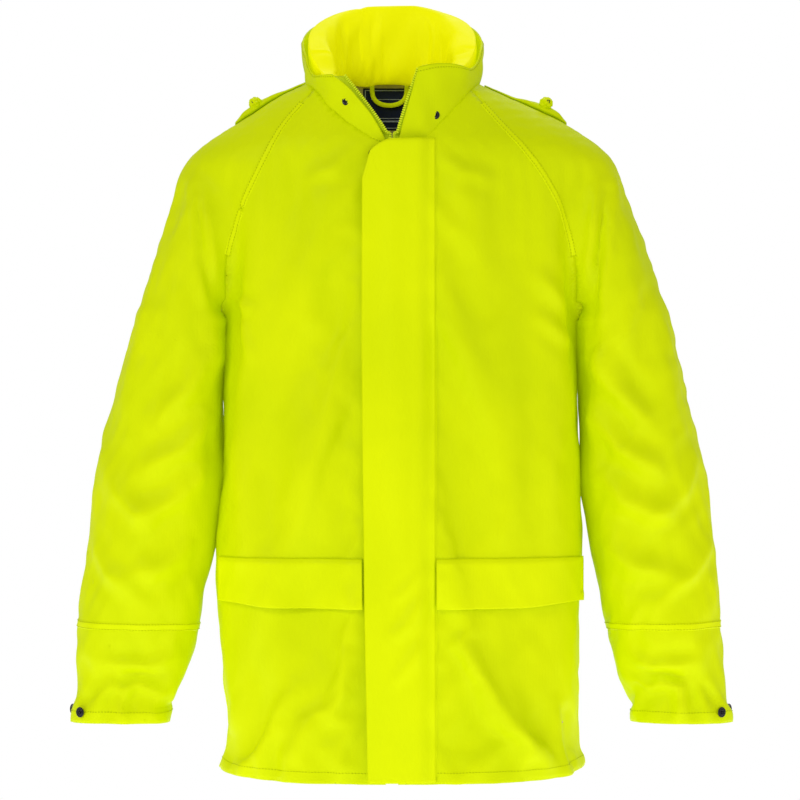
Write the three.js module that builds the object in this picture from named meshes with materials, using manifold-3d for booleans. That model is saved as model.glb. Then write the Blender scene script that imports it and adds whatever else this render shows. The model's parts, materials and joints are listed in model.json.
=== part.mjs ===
// A waterproof hooded jacket, zipped and hanging from the nape, in millimetres.
// +Z is up, the front faces -Y, the wearer's left is +X. The origin is the nape:
// centre back, at the neck seam. Cloth pieces are thin closed solids.
import * as THREE from 'three';
import { mergeVertices } from 'three/addons/utils/BufferGeometryUtils.js';
import Module from 'manifold-3d';

const wasm = await Module();
wasm.setup();

// Body of the jacket
const BACK_LENGTH = 801; // nape to hem
const CHEST_HALF_WIDTH = 212; // armpit to hem
const NAPE_DEPTH = 90; // torso middle to the nape
const BACK_DEPTH = 140; // torso middle to the back at the chest
const FRONT_NECK_DEPTH = 100; // torso middle to the front neck point
const FRONT_HEM_DEPTH = 145; // torso middle to the front hem
const FRONT_NECK_DROP = 75; // front neck point, below the nape
const SHOULDER_DROP = 97; // shoulder point, below the nape
const SHOULDER_REACH = 38; // shoulder point, outside the chest
const ARMPIT_DROP = 255;

// Collar and hood
const NECK_HALF_WIDTH = 93;
const COLLAR_HEIGHT = 90; // at the back
const COLLAR_FRONT_HEIGHT = 70; // at the front edge
const COLLAR_FLARE = 12; // added to each side at the top of the collar
const COLLAR_V_HALF = 41; // half the open zip at the top of the collar
const COLLAR_STUDS = { left: [39, -45], right: [-62, -29] }; // x and z
const HOOD_THICKNESS = 20; // of the rolled hood inside the collar
const HOOD_FRONT = 50; // where the hood roll ends, in front of the torso middle
const LABEL_SIZE = [70, 46];
const LOOP_SIZE = [46, 24];
const LOOP_BAND = 6;

// Sleeves
const SLEEVE_DROP = 742; // nape level to the cuff edge
const SLEEVE_SPREAD = 134; // cuff edge, outside the shoulder point
const CUFF_WIDTH = 118;
const CUFF_HALF_DEPTH = 47;
const ARMHOLE_HALF_DEPTH = 94;
const ARMHOLE_BACKSET = 8; // armhole middle, behind the torso middle
const FOREARM_SEAM_RISE = 120; // above the cuff edge
const CUFF_HEM = 26;

// Fastenings
const ZIP_X = -10;
const TOOTH_SLOT = 1.2; // half the slot that the slider's post runs in
const TOOTH_REACH = 5; // outer edge of a tooth row, from the zip's middle
const TAPE_REACH = 20;
const PLACKET_REACH = 7; // front edge of a front panel, from the zip's middle
const SLIDER_SIZE = [12, 16]; // width and height
const PULLER_LENGTH = 30;
const FLAP_FREE_X = -45;
const FLAP_SEAM_X = 30;
const FLAP_STRIP = 8; // sewn strip beside the flap
const FLAP_TOP_DROP = 78;
const FLAP_CORNER = 24;
const FLAP_STUDS = 5;
const STUD_RADIUS = 6;

// Pockets
const POCKET_DROP = 549; // top of the pocket flap
const POCKET_FLAP_DEPTH = 56;
const POCKET_FLAP_INNER = 48;
const POCKET_FLAP_OUTER = 200;
const POCKET_BAG_DEPTH = 190;
const POCKET_BAG_ROOM = 22;

// Shoulder tabs
const TAB_INNER = 116;
const TAB_OUTER = 190;
const TAB_WIDTH = 32;
const TOGGLE_SIZE = [9, 9, 7]; // half sizes

// Cloth and clearances
const WALL = 3; // coated outer fabric with its lining
const PLY = 1.2; // one more ply, tape or label
const PLY_GAP = 0.4;
const SEAM_GAP = 0.6;
const FLAP_ROOM = 6; // from the front to the inside of the storm flap

const SECTION_SIDES = 28;
const SLEEVE_SIDES = 18;
const STUD_SIDES = 10;
const SECTION_POWER = 2.4;
const NECK_GAP = 0.5;
const HEM_Z = -BACK_LENGTH;
const SHOULDER_X = CHEST_HALF_WIDTH + SHOULDER_REACH;
const TORSO_Y = -NAPE_DEPTH;
const BEYOND = 400; // past every piece, for cutting solids
const FRONT_SLOPE = (FRONT_HEM_DEPTH - FRONT_NECK_DEPTH) / (BACK_LENGTH - FRONT_NECK_DROP);

const YELLOW = { color: 0xdcec00, roughness: 0.55, metalness: 0 };
const LINING = { color: 0xd9cf9a, roughness: 0.9, metalness: 0 };
const NAVY = { color: 0x1c2740, roughness: 0.8, metalness: 0 };
const ZIP_YELLOW = { color: 0xd2e000, roughness: 0.45, metalness: 0 };
const GUNMETAL = { color: 0x2a2c30, roughness: 0.35, metalness: 0.9 };

const jacket = new THREE.Group();

// ---- solids ----

function solidOf(geometry) {
  const bare = geometry.clone();
  bare.deleteAttribute('normal');
  bare.deleteAttribute('uv');
  const merged = mergeVertices(bare, 1e-4);
  const { Mesh, Manifold } = wasm;
  return new Manifold(new Mesh({
    numProp: 3,
    vertProperties: new Float32Array(merged.attributes.position.array),
    triVerts: new Uint32Array(merged.index.array),
  }));
}

function geometryOf(solid) {
  const mesh = solid.getMesh();
  const geometry = new THREE.BufferGeometry();
  geometry.setAttribute('position', new THREE.BufferAttribute(mesh.vertProperties, 3));
  geometry.setIndex(new THREE.BufferAttribute(mesh.triVerts, 1));
  return geometry;
}

// The rings run up or down in order; each is a list of [x, y, z] with as many points.
function loft(rings) {
  const count = rings[0].length;
  const points = rings.flat();
  const index = [];
  for (let r = 0; r + 1 < rings.length; r++) {
    for (let i = 0; i < count; i++) {
      const [a, b] = [r * count + i, r * count + ((i + 1) % count)];
      index.push(a, b, b + count, a, b + count, a + count);
    }
  }
  for (const r of [0, rings.length - 1]) {
    const middle = points.length;
    points.push(averageOf(rings[r]));
    for (let i = 0; i < count; i++) {
      const [a, b] = [r * count + i, r * count + ((i + 1) % count)];
      index.push(middle, ...(r === 0 ? [b, a] : [a, b]));
    }
  }
  const geometry = new THREE.BufferGeometry();
  geometry.setAttribute('position', new THREE.Float32BufferAttribute(points.flat(), 3));
  geometry.setIndex(index);
  return solidOf(geometry);
}

function averageOf(ring) {
  return [0, 1, 2].map((axis) => ring.reduce((sum, point) => sum + point[axis], 0) / ring.length);
}

// A solid with the given outline in X and Z, from y0 (front) to y1.
function prism(outline, y0, y1) {
  const shape = new THREE.Shape(outline.map(([x, z]) => new THREE.Vector2(x, z)));
  const geometry = new THREE.ExtrudeGeometry(shape, { depth: y1 - y0, bevelEnabled: false });
  return solidOf(geometry.rotateX(Math.PI / 2).translate(0, y1, 0));
}

function rectangle(x0, x1, z0, z1) {
  return [[x0, z0], [x1, z0], [x1, z1], [x0, z1]];
}

const frontPrism = (outline) => prism(outline, TORSO_Y - BEYOND, TORSO_Y);
const backPrism = (outline) => prism(outline, TORSO_Y, TORSO_Y + BEYOND);

function add(name, look, shape, parent = jacket) {
  const geometry = shape.isBufferGeometry ? shape : geometryOf(shape);
  const mesh = new THREE.Mesh(geometry, new THREE.MeshStandardMaterial(look));
  mesh.name = name;
  parent.add(mesh);
  return mesh;
}

// ---- torso ----

const signedPower = (value, power) => Math.sign(value) * Math.abs(value) ** power;

// A closed oval at one height, deeper or shallower in front than behind.
function oval(z, halfWidth, front, back, power = SECTION_POWER) {
  return Array.from({ length: SECTION_SIDES }, (_, i) => {
    const turn = (2 * Math.PI * i) / SECTION_SIDES;
    const across = signedPower(Math.cos(turn), 2 / power);
    const along = signedPower(Math.sin(turn), 2 / power);
    return [halfWidth * across, TORSO_Y + (along < 0 ? front : back) * along, z];
  });
}

const between = (a, b, share) => a + (b - a) * Math.min(1, Math.max(0, share));

function torsoHalfWidth(drop) {
  if (drop < SHOULDER_DROP) {
    const share = (drop - 5) / (SHOULDER_DROP - 5);
    const rise = 1 - signedPower(1 - share, 1.35);
    return NECK_HALF_WIDTH + 11 + (SHOULDER_X - NECK_HALF_WIDTH - 11) * rise;
  }
  return between(SHOULDER_X, CHEST_HALF_WIDTH, (drop - SHOULDER_DROP) / (ARMPIT_DROP - SHOULDER_DROP));
}

function frontDepth(drop) {
  const past = drop - FRONT_NECK_DROP;
  return FRONT_NECK_DEPTH + past * (past < 0 ? 0.47 : FRONT_SLOPE);
}

function backDepth(drop) {
  if (drop < SHOULDER_DROP) return NAPE_DEPTH + 0.32 * drop;
  const shoulderDepth = NAPE_DEPTH + 0.32 * SHOULDER_DROP;
  return between(shoulderDepth, BACK_DEPTH, (drop - SHOULDER_DROP) / (ARMPIT_DROP - SHOULDER_DROP));
}

// Ring heights: the top of the yoke, the shoulder slope, the armhole and the skirt.
function torsoDrops(hem) {
  const slope = [0.18, 0.42].map((share) => share * SHOULDER_DROP);
  const armhole = [0, 0.35, 0.7, 1].map(
    (share) => SHOULDER_DROP + share * (ARMPIT_DROP - SHOULDER_DROP));
  return [-10, 3, ...slope, FRONT_NECK_DROP, ...armhole, hem];
}

function torso(offset, hem = BACK_LENGTH) {
  return loft(torsoDrops(hem).reverse().map((drop) => oval(
    -drop, torsoHalfWidth(drop) + offset, frontDepth(drop) + offset, backDepth(drop) + offset)));
}

const ply = (inner, outer) => torso(outer).subtract(torso(inner));

// Where an oval's flat sides pass x, in front.
function ovalFrontY(ring, x) {
  const front = ring.filter(([, y]) => y < TORSO_Y).sort((a, b) => a[0] - b[0]);
  const next = front.findIndex((point) => point[0] > x);
  const [[x0, y0], [x1, y1]] = [front[next - 1], front[next]];
  return y0 + ((y1 - y0) * (x - x0)) / (x1 - x0);
}

function frontY(x, z) {
  return ovalFrontY(oval(z, torsoHalfWidth(-z), frontDepth(-z), backDepth(-z)), x);
}

// ---- sleeves, built for +X and mirrored ----

const SHOULDER_POINT = new THREE.Vector2(SHOULDER_X, -SHOULDER_DROP);
const ARMPIT_POINT = new THREE.Vector2(CHEST_HALF_WIDTH, -ARMPIT_DROP);
const ALONG_ARMHOLE = SHOULDER_POINT.clone().sub(ARMPIT_POINT).normalize();
const OUT_OF_ARMHOLE = new THREE.Vector2(ALONG_ARMHOLE.y, -ALONG_ARMHOLE.x);
const UNDERARM_GAP = 5;
const UNDERARM_HANG = 475; // where the sleeve starts to leave the body

function outerEdge(drop) {
  const share = (drop - SHOULDER_DROP) / (SLEEVE_DROP - SHOULDER_DROP);
  return [SHOULDER_X + SLEEVE_SPREAD * (1 - signedPower(1 - share, 2.2)), -drop];
}

function innerEdge(drop) {
  const atCuff = SHOULDER_X + SLEEVE_SPREAD - CUFF_WIDTH;
  const start = CHEST_HALF_WIDTH + UNDERARM_GAP;
  const share = Math.max(0, (drop - UNDERARM_HANG) / (SLEEVE_DROP - UNDERARM_HANG));
  return [start + (atCuff - start) * share ** 1.3, -drop];
}

// A rib of the sleeve: outer and inner end in X and Z, and half its depth in Y.
function sleeveRibs(overrun) {
  const pair = (share) => {
    const outerDrop = SHOULDER_DROP + share * (SLEEVE_DROP - SHOULDER_DROP);
    const innerDrop = ARMPIT_DROP + share * (SLEEVE_DROP - ARMPIT_DROP);
    const depth = ARMHOLE_HALF_DEPTH + (CUFF_HALF_DEPTH - ARMHOLE_HALF_DEPTH) * share;
    return [outerEdge(outerDrop), innerEdge(innerDrop), depth];
  };
  const inside = [
    [SHOULDER_X - 65, -SHOULDER_DROP + 12], [CHEST_HALF_WIDTH - 27, -ARMPIT_DROP + 20],
    ARMHOLE_HALF_DEPTH - 16];
  const armhole = [SHOULDER_POINT.toArray(), ARMPIT_POINT.toArray(), ARMHOLE_HALF_DEPTH];
  const arm = [0.05, 0.14, 0.28, 0.48, 0.7, 0.85, 1].map(pair);
  const [outer, inner, depth] = arm.at(-1);
  const past = [[outer[0], outer[1] - overrun], [inner[0], inner[1] - overrun], depth];
  return [inside, armhole, ...arm, ...(overrun ? [past] : [])];
}

function ribPoint([outer, inner, depth], turn, offset) {
  const middle = [(outer[0] + inner[0]) / 2, (outer[1] + inner[1]) / 2];
  const half = [(outer[0] - inner[0]) / 2, (outer[1] - inner[1]) / 2];
  const grow = 1 + offset / Math.hypot(...half);
  const across = grow * signedPower(Math.cos(turn), 0.92);
  const y = TORSO_Y + ARMHOLE_BACKSET + (depth + offset) * signedPower(Math.sin(turn), 0.92);
  return [middle[0] + half[0] * across, y, middle[1] + half[1] * across];
}

function sleeve(offset, overrun = 0) {
  const turns = Array.from({ length: SLEEVE_SIDES }, (_, i) => (2 * Math.PI * i) / SLEEVE_SIDES);
  const rings = sleeveRibs(overrun).map((rib) => turns.map((turn) => ribPoint(rib, turn, offset)));
  return loft(rings.reverse());
}

// One side of the armhole's plane: +1 is the sleeve's side, -1 the body's.
function armholeSide(side, gap = SEAM_GAP / 2) {
  const shift = OUT_OF_ARMHOLE.clone().multiplyScalar(side * gap);
  const top = SHOULDER_POINT.clone().addScaledVector(ALONG_ARMHOLE, 60).add(shift);
  const bottom = ARMPIT_POINT.clone().addScaledVector(ALONG_ARMHOLE, -8).add(shift);
  if (side < 0) {
    const inward = CHEST_HALF_WIDTH - 80;
    return [top.toArray(), bottom.toArray(), [inward, bottom.y], [inward, 0]];
  }
  const beside = CHEST_HALF_WIDTH + 1;
  return [top.toArray(), bottom.toArray(), [beside, bottom.y - 5], [beside, -BEYOND - SLEEVE_DROP],
    [2 * BEYOND, -BEYOND - SLEEVE_DROP], [2 * BEYOND, 0]];
}

const wholeDepth = (outline) => prism(outline, TORSO_Y - BEYOND, TORSO_Y + BEYOND);
const mirrored = (solid) => solid.mirror([1, 0, 0]);

// ---- panels of the body ----

// The raglan seam from the neck to the armpit, moved outwards by grow.
function raglanSeam(neckX, neckZ, grow) {
  const start = new THREE.Vector2(neckX + grow, neckZ + grow);
  const bend = new THREE.Vector2(CHEST_HALF_WIDTH - 4 + grow, -ARMPIT_DROP * 0.58 + grow);
  const end = new THREE.Vector2(CHEST_HALF_WIDTH - 3 + grow, -ARMPIT_DROP - 2 + grow);
  return new THREE.QuadraticBezierCurve(start, bend, end).getPoints(9).map((p) => p.toArray());
}

function halfPanel(innerX, neckX, neckZ, grow) {
  const wide = SHOULDER_X + BEYOND;
  const armpit = -ARMPIT_DROP - 2 + grow;
  return [[innerX, HEM_Z - BEYOND], [innerX, 20], [neckX - 8, 20], ...raglanSeam(neckX, neckZ, grow),
    [wide, armpit], [wide, HEM_Z - BEYOND]];
}

const FRONT_RAGLAN = [NECK_HALF_WIDTH + 11, -30];
const BACK_RAGLAN = [NECK_HALF_WIDTH - 15, -1];
const flipX = (outline) => outline.map(([x, z]) => [-x, z]);

function bodyShell() {
  const sleeveRoot = sleeve(0).intersect(wholeDepth(armholeSide(-1)));
  const outside = torso(0).add(sleeveRoot).add(mirrored(sleeveRoot));
  const arm = sleeve(-WALL, 12);
  const inside = torso(-WALL, BACK_LENGTH + 12).add(arm).add(mirrored(arm));
  const edge = armholeSide(1, -SEAM_GAP / 2);
  const trim = [edge[0], edge[1], [2 * BEYOND, edge[1][1]], [2 * BEYOND, 0]];
  const sides = wholeDepth(trim).add(wholeDepth(flipX(trim)));
  return outside.subtract(inside).subtract(neckColumn(NECK_GAP)).subtract(sides);
}

function addBody() {
  const shell = bodyShell();
  const seam = SEAM_GAP / 2;
  const frontHalf = prism(rectangle(-BEYOND, BEYOND, HEM_Z - BEYOND, BEYOND),
    TORSO_Y - BEYOND, TORSO_Y - seam);
  const backHalf = prism(rectangle(-BEYOND, BEYOND, HEM_Z - BEYOND, BEYOND),
    TORSO_Y + seam, TORSO_Y + BEYOND);
  const back = halfPanel(0, ...BACK_RAGLAN, 0);
  const backArea = backPrism(back).add(backPrism(flipX(back)));
  add('back_panel', YELLOW, shell.intersect(backHalf).intersect(backArea));
  for (const side of [1, -1]) {
    const name = side > 0 ? 'left' : 'right';
    const innerX = side * ZIP_X + PLACKET_REACH;
    const turned = (outline) => (side > 0 ? outline : flipX(outline));
    const front = halfPanel(innerX, ...FRONT_RAGLAN, 0);
    const panel = shell.intersect(frontHalf).intersect(frontPrism(turned(front)));
    add(`front_panel_${name}`, YELLOW, panel.subtract(pocketSlot(side)));
    const wideFront = frontPrism(turned(halfPanel(-BEYOND, ...FRONT_RAGLAN, SEAM_GAP)));
    const wideBack = backPrism(turned(halfPanel(-BEYOND, ...BACK_RAGLAN, SEAM_GAP)));
    const ownSide = wholeDepth(turned(rectangle(0, BEYOND, -ARMPIT_DROP - 30, BEYOND)));
    add(`shoulder_${name}`, YELLOW, shell.intersect(ownSide).subtract(wideFront).subtract(wideBack));
  }
}

function addSleeves() {
  const own = sleeve(0).subtract(sleeve(-WALL, 12)).intersect(wholeDepth(armholeSide(1)))
    .subtract(torso(SEAM_GAP));
  const seamZ = FOREARM_SEAM_RISE - SLEEVE_DROP;
  const band = (z0, z1) => wholeDepth(rectangle(0, 2 * BEYOND, z0, z1));
  const upper = own.intersect(band(seamZ + SEAM_GAP / 2, BEYOND));
  const lower = own.intersect(band(-SLEEVE_DROP - BEYOND, seamZ - SEAM_GAP / 2));
  const turnUp = sleeve(-WALL - PLY_GAP).subtract(sleeve(-WALL - PLY_GAP - PLY, 12))
    .intersect(band(-SLEEVE_DROP - BEYOND, CUFF_HEM - SLEEVE_DROP));
  for (const [name, side] of [['left', 1], ['right', -1]]) {
    const turned = (solid) => (side > 0 ? solid : mirrored(solid));
    add(`sleeve_upper_${name}`, YELLOW, turned(upper));
    add(`sleeve_lower_${name}`, YELLOW, turned(lower));
    add(`cuff_turn_up_${name}`, LINING, turned(turnUp));
    addCuffStuds(name, side);
  }
}

// ---- collar and hood ----

// The upright column of the neck, whose wall is the collar. It widens from the neck
// seam up to the middle of the collar's back.
const FLARE_FROM = -60;
const FLARE_TO = 45;

function neckRing(z, offset) {
  const share = between(0, 1, (z - FLARE_FROM) / (FLARE_TO - FLARE_FROM));
  return oval(z, NECK_HALF_WIDTH + COLLAR_FLARE * share + offset, FRONT_NECK_DEPTH + share + offset,
    NAPE_DEPTH + 4 * share + offset);
}

function neckColumn(offset) {
  return loft([-130, FLARE_FROM, FLARE_TO, 140].map((z) => neckRing(z, offset)));
}

// The space under the collar's sloping top edge, lowered by drop, and above its foot.
function collarBand(foot, drop) {
  const run = FRONT_NECK_DEPTH + NAPE_DEPTH;
  const topSlope = (COLLAR_HEIGHT + FRONT_NECK_DROP - COLLAR_FRONT_HEIGHT) / run;
  const footSlope = (FRONT_NECK_DROP + 3) / run;
  const corner = (y, z, slope) => new THREE.Vector2(y, z + slope * y);
  const shape = new THREE.Shape([corner(-BEYOND, foot, footSlope), corner(BEYOND, foot, footSlope),
    corner(BEYOND, COLLAR_HEIGHT - drop, topSlope), corner(-BEYOND, COLLAR_HEIGHT - drop, topSlope)]);
  const geometry = new THREE.ExtrudeGeometry(shape, { depth: 2 * BEYOND, bevelEnabled: false });
  geometry.applyMatrix4(new THREE.Matrix4().makeBasis(
    new THREE.Vector3(0, 1, 0), new THREE.Vector3(0, 0, 1), new THREE.Vector3(1, 0, 0)));
  return solidOf(geometry.translate(-BEYOND, 0, 0));
}

// The zip's middle line opens into a V in the collar.
const zipSpread = (z) => Math.max(0, z + FRONT_NECK_DROP - 9) * (COLLAR_V_HALF / (FRONT_NECK_DROP - 9));

function zipStrip(side, from, to, low, high) {
  const heights = [low, -FRONT_NECK_DROP + 9, high].filter((z) => z >= low && z <= high);
  const edge = (reach) => heights.map((z) => [ZIP_X + side * (reach + zipSpread(z)), z]);
  return [...edge(from), ...edge(to).reverse()];
}

function collarOpening() {
  const edge = (side) => [-FRONT_NECK_DROP - 60, -FRONT_NECK_DROP + 9, BEYOND / 4]
    .map((z) => [ZIP_X + side * (PLACKET_REACH + zipSpread(z)), z]);
  return frontPrism([...edge(-1), ...edge(1).reverse()]);
}

function addCollar() {
  const yoke = torso(NECK_GAP);
  const ring = (inner, outer) => neckColumn(outer).subtract(neckColumn(inner)).subtract(yoke);
  const behind = prism(rectangle(-BEYOND, BEYOND, -BEYOND, BEYOND), TORSO_Y - HOOD_FRONT,
    TORSO_Y + BEYOND);
  const stand = ring(-WALL, 0).intersect(collarBand(-BEYOND, 0));
  add('collar', YELLOW, stand.subtract(collarOpening()));
  const hoodInner = -WALL - PLY_GAP - HOOD_THICKNESS;
  const roll = ring(hoodInner, -WALL - PLY_GAP).intersect(behind)
    .intersect(collarBand(6, 2));
  add('hood_roll', YELLOW, roll);
  const facing = ring(hoodInner - PLY_GAP - PLY, hoodInner - PLY_GAP).intersect(behind)
    .intersect(collarBand(6, 0));
  add('collar_facing', YELLOW, facing);
}

function addNeckInside() {
  const facingOuter = -WALL - PLY_GAP;
  const facing = ply(facingOuter - PLY, facingOuter)
    .intersect(backPrism(rectangle(-NECK_HALF_WIDTH + 10, NECK_HALF_WIDTH - 10, -80, -6)));
  add('neck_facing', LINING, facing);
  const labelOuter = facingOuter - PLY - PLY_GAP;
  const [labelWidth, labelHeight] = LABEL_SIZE;
  add('neck_label', NAVY, ply(labelOuter - PLY, labelOuter).intersect(
    backPrism(rectangle(-labelWidth / 2, labelWidth / 2, -9 - labelHeight, -9))));
  addHangingLoop(labelOuter - PLY - PLY_GAP);
}

// A band bent into a U, sewn at its two top ends in front of the label.
function addHangingLoop(offset) {
  const [width, height] = LOOP_SIZE;
  const radius = width / 2;
  const outline = new THREE.Shape();
  outline.moveTo(-radius, 0);
  outline.absellipse(0, -height + radius, radius, radius, Math.PI, 2 * Math.PI);
  outline.lineTo(radius, 0);
  outline.lineTo(radius - LOOP_BAND, 0);
  outline.absellipse(0, -height + radius, radius - LOOP_BAND, radius - LOOP_BAND, 0, Math.PI, true);
  outline.lineTo(-radius + LOOP_BAND, 0);
  const geometry = new THREE.ExtrudeGeometry(outline, { depth: 2, bevelEnabled: false, curveSegments: 10 });
  geometry.rotateX(Math.PI / 2);
  const top = -LOOP_TOP_DROP;
  const loop = add('hanging_loop', YELLOW, geometry);
  loop.position.set(0, TORSO_Y + backDepth(LOOP_TOP_DROP) + offset, top);
}

const LOOP_TOP_DROP = 3;

// ---- zip ----

function addZip() {
  const layers = (inner, outer) => ({
    body: ply(inner, outer),
    neck: neckColumn(outer).subtract(neckColumn(inner)),
  });
  const tape = layers(-WALL - PLY_GAP - PLY - 0.2, -WALL - PLY_GAP);
  const teeth = layers(-WALL - 3.2, -WALL + 1.2);
  const topZ = COLLAR_FRONT_HEIGHT - FRONT_NECK_DROP - 3;
  for (const [name, side] of [['left', 1], ['right', -1]]) {
    const run = ({ body, neck }, from, to) => {
      const long = zipStrip(side, from, to, HEM_Z + 14, -FRONT_NECK_DROP);
      const high = zipStrip(side, from, to, -FRONT_NECK_DROP - 5, topZ);
      return body.intersect(frontPrism(long)).add(neck.intersect(frontPrism(high)));
    };
    add(`zip_tape_${name}`, ZIP_YELLOW, run(tape, TOOTH_REACH + PLY_GAP, TAPE_REACH));
    add(`zip_teeth_${name}`, ZIP_YELLOW, run(teeth, TOOTH_SLOT, TOOTH_REACH));
  }
}

// Pieces on the zip are drawn flat: x across, y up the zip, z out of the front.
function zipGroup(z) {
  const group = new THREE.Group();
  group.position.set(ZIP_X, frontY(ZIP_X, z), z);
  group.rotation.x = Math.PI / 2 - Math.atan(FRONT_SLOPE);
  jacket.add(group);
  return group;
}

function block(x0, x1, y0, y1, z0, z1) {
  return new THREE.BoxGeometry(x1 - x0, y1 - y0, z1 - z0)
    .translate((x0 + x1) / 2, (y0 + y1) / 2, (z0 + z1) / 2);
}

function addSlider() {
  const group = zipGroup(-FRONT_NECK_DROP);
  const [width, height] = SLIDER_SIZE;
  const half = width / 2;
  const front = solidOf(block(-half, half, -height + 2, 2, -1.3, 0.4));
  const back = solidOf(block(-half, half, -height + 2, 2, -9.2, -7.8));
  const post = solidOf(block(-0.7, 0.7, -3, 1, -8, -1.2));
  const bail = solidOf(block(-1.5, 1.5, -9, -3, 0.3, 3.6))
    .subtract(solidOf(block(-2, 2, -7.4, -4.6, 0.9, 2.9)));
  add('zip_slider', GUNMETAL, front.add(back).add(post).add(bail), group);
  const tab = solidOf(block(-4, 4, -PULLER_LENGTH, -5.3, 1.3, 2.5));
  const window = solidOf(block(-2.1, 2.1, -12, -6.7, 0, 4));
  add('zip_puller', GUNMETAL, tab.subtract(window), group);
  const end = zipGroup(HEM_Z + 12);
  add('zip_bottom_box', GUNMETAL, block(-6.4, 6.4, -8, 0, -7, -1), end);
}

// ---- storm flap ----

function flapOutline() {
  const [left, right] = [FLAP_FREE_X, FLAP_SEAM_X];
  const [top, bottom] = [-FLAP_TOP_DROP, HEM_Z + 4];
  const corner = new THREE.EllipseCurve(left + FLAP_CORNER, top - FLAP_CORNER, FLAP_CORNER, FLAP_CORNER,
    Math.PI, Math.PI / 2, true).getPoints(6).map((p) => p.toArray());
  return [[left, bottom], ...corner, [right, top], [right, bottom]];
}

function addStormFlap() {
  const outline = frontPrism(flapOutline());
  const inner = FLAP_ROOM;
  add('storm_flap_facing', YELLOW, ply(inner, inner + PLY).intersect(outline));
  add('storm_flap', YELLOW, ply(inner + PLY + PLY_GAP, FLAP_TOP).intersect(outline));
  const x = FLAP_SEAM_X + SEAM_GAP;
  const strip = rectangle(x, x + FLAP_STRIP, HEM_Z + 4, -FLAP_TOP_DROP);
  add('flap_seam_strip', YELLOW, ply(PLY_GAP, FLAP_TOP).intersect(frontPrism(strip)));
  for (let i = 0; i < FLAP_STUDS; i++) addFlapStud(i);
}

const FLAP_TOP = FLAP_ROOM + 2 * PLY + PLY_GAP;

// A round press stud on the front, its axis square to the cloth.
function studOf(profile) {
  const points = profile.map(([r, out]) => new THREE.Vector2(r, out));
  return new THREE.LatheGeometry(points, STUD_SIDES);
}

const discProfile = (radius, low, high, round) => [
  [0, low], [radius, low], [radius, high - round], [radius - round, high], [0, high]];

function addFlapStud(i) {
  const first = FLAP_TOP_DROP + 2 * STUD_RADIUS;
  const z = -first - (i * (BACK_LENGTH - 40 - first)) / (FLAP_STUDS - 1);
  const x = FLAP_FREE_X + 2.4 * STUD_RADIUS;
  const place = (mesh) => {
    mesh.position.set(x, frontY(x, z), z);
    mesh.rotation.set(-Math.atan(FRONT_SLOPE), 0, Math.PI);
  };
  place(add(`front_stud_${i + 1}`, GUNMETAL,
    studOf(discProfile(STUD_RADIUS, PLY_GAP, PLY_GAP + 1.6, 0.5))));
  place(add(`flap_stud_${i + 1}`, GUNMETAL,
    studOf(discProfile(STUD_RADIUS, PLY_GAP + 2.2, FLAP_ROOM - 2 * PLY_GAP, 0.4))));
}

// ---- pockets ----

function pocketSlot(side) {
  const z = -POCKET_DROP - 9;
  const outline = rectangle(POCKET_FLAP_INNER + 22, POCKET_FLAP_OUTER - 18, z - 12, z);
  return frontPrism(side > 0 ? outline : flipX(outline));
}

function addPockets() {
  for (const [name, side] of [['left', 1], ['right', -1]]) {
    const turned = (outline) => frontPrism(side > 0 ? outline : flipX(outline));
    const flap = rectangle(POCKET_FLAP_INNER, POCKET_FLAP_OUTER,
      -POCKET_DROP - POCKET_FLAP_DEPTH, -POCKET_DROP);
    add(`pocket_flap_${name}`, YELLOW, ply(PLY_GAP, PLY_GAP + 2 * PLY).intersect(turned(flap)));
    const face = -WALL - PLY_GAP;
    const bag = (inset, up) => turned(rectangle(POCKET_FLAP_INNER + 8 + inset,
      POCKET_FLAP_OUTER - 10 - inset, -POCKET_DROP - POCKET_BAG_DEPTH + inset, -POCKET_DROP + up));
    const outside = ply(face - POCKET_BAG_ROOM - PLY, face).intersect(bag(0, -4));
    const room = ply(face - POCKET_BAG_ROOM, face + 1).intersect(bag(2, -6));
    add(`pocket_bag_${name}`, LINING, outside.subtract(room));
  }
}

// ---- collar and cuff studs ----

function place(mesh, point, normal) {
  mesh.position.set(...point);
  mesh.quaternion.setFromUnitVectors(new THREE.Vector3(0, 1, 0), normal.normalize());
}

function addCollarStuds() {
  for (const [name, [x, z]] of Object.entries(COLLAR_STUDS)) {
    const ring = neckRing(z, 0);
    const y = ovalFrontY(ring, x);
    const slope = (ovalFrontY(ring, x + 4) - ovalFrontY(ring, x - 4)) / 8;
    const stud = add(`collar_stud_${name}`, GUNMETAL, studOf(discProfile(5, 0.9, 2.5, 0.5)));
    place(stud, [x, y, z], new THREE.Vector3(slope, -1, 0));
  }
}

// The shown half, its rivet inside, and the half further back that it snaps to.
function addCuffStuds(name, side) {
  const rise = 13;
  const last = sleeveRibs(0).at(-1);
  const seat = (turn) => {
    const [x, y, z] = ribPoint(last, turn, 0);
    const [, , depth] = last;
    const normal = new THREE.Vector3(side * Math.cos(turn) / (CUFF_WIDTH / 2), Math.sin(turn) / depth, 0);
    const lean = ((outerEdge(SLEEVE_DROP - rise)[0] - outerEdge(SLEEVE_DROP)[0]));
    return [[side * (x + lean), y, z + rise], normal];
  };
  const shown = seat(-Math.PI * 0.24);
  const partner = seat(Math.PI * 0.1);
  const raised = discProfile(STUD_RADIUS, 0.9, 2.6, 0.6);
  place(add(`cuff_stud_${name}`, GUNMETAL, studOf(raised)), ...shown);
  place(add(`cuff_stud_partner_${name}`, GUNMETAL, studOf(raised)), ...partner);
  place(add(`cuff_stud_rivet_${name}`, GUNMETAL,
    studOf(discProfile(4, -WALL - PLY - 4.4, -WALL - PLY - 2.8, 0.4))), ...shown);
}

// ---- shoulder tabs ----

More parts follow.
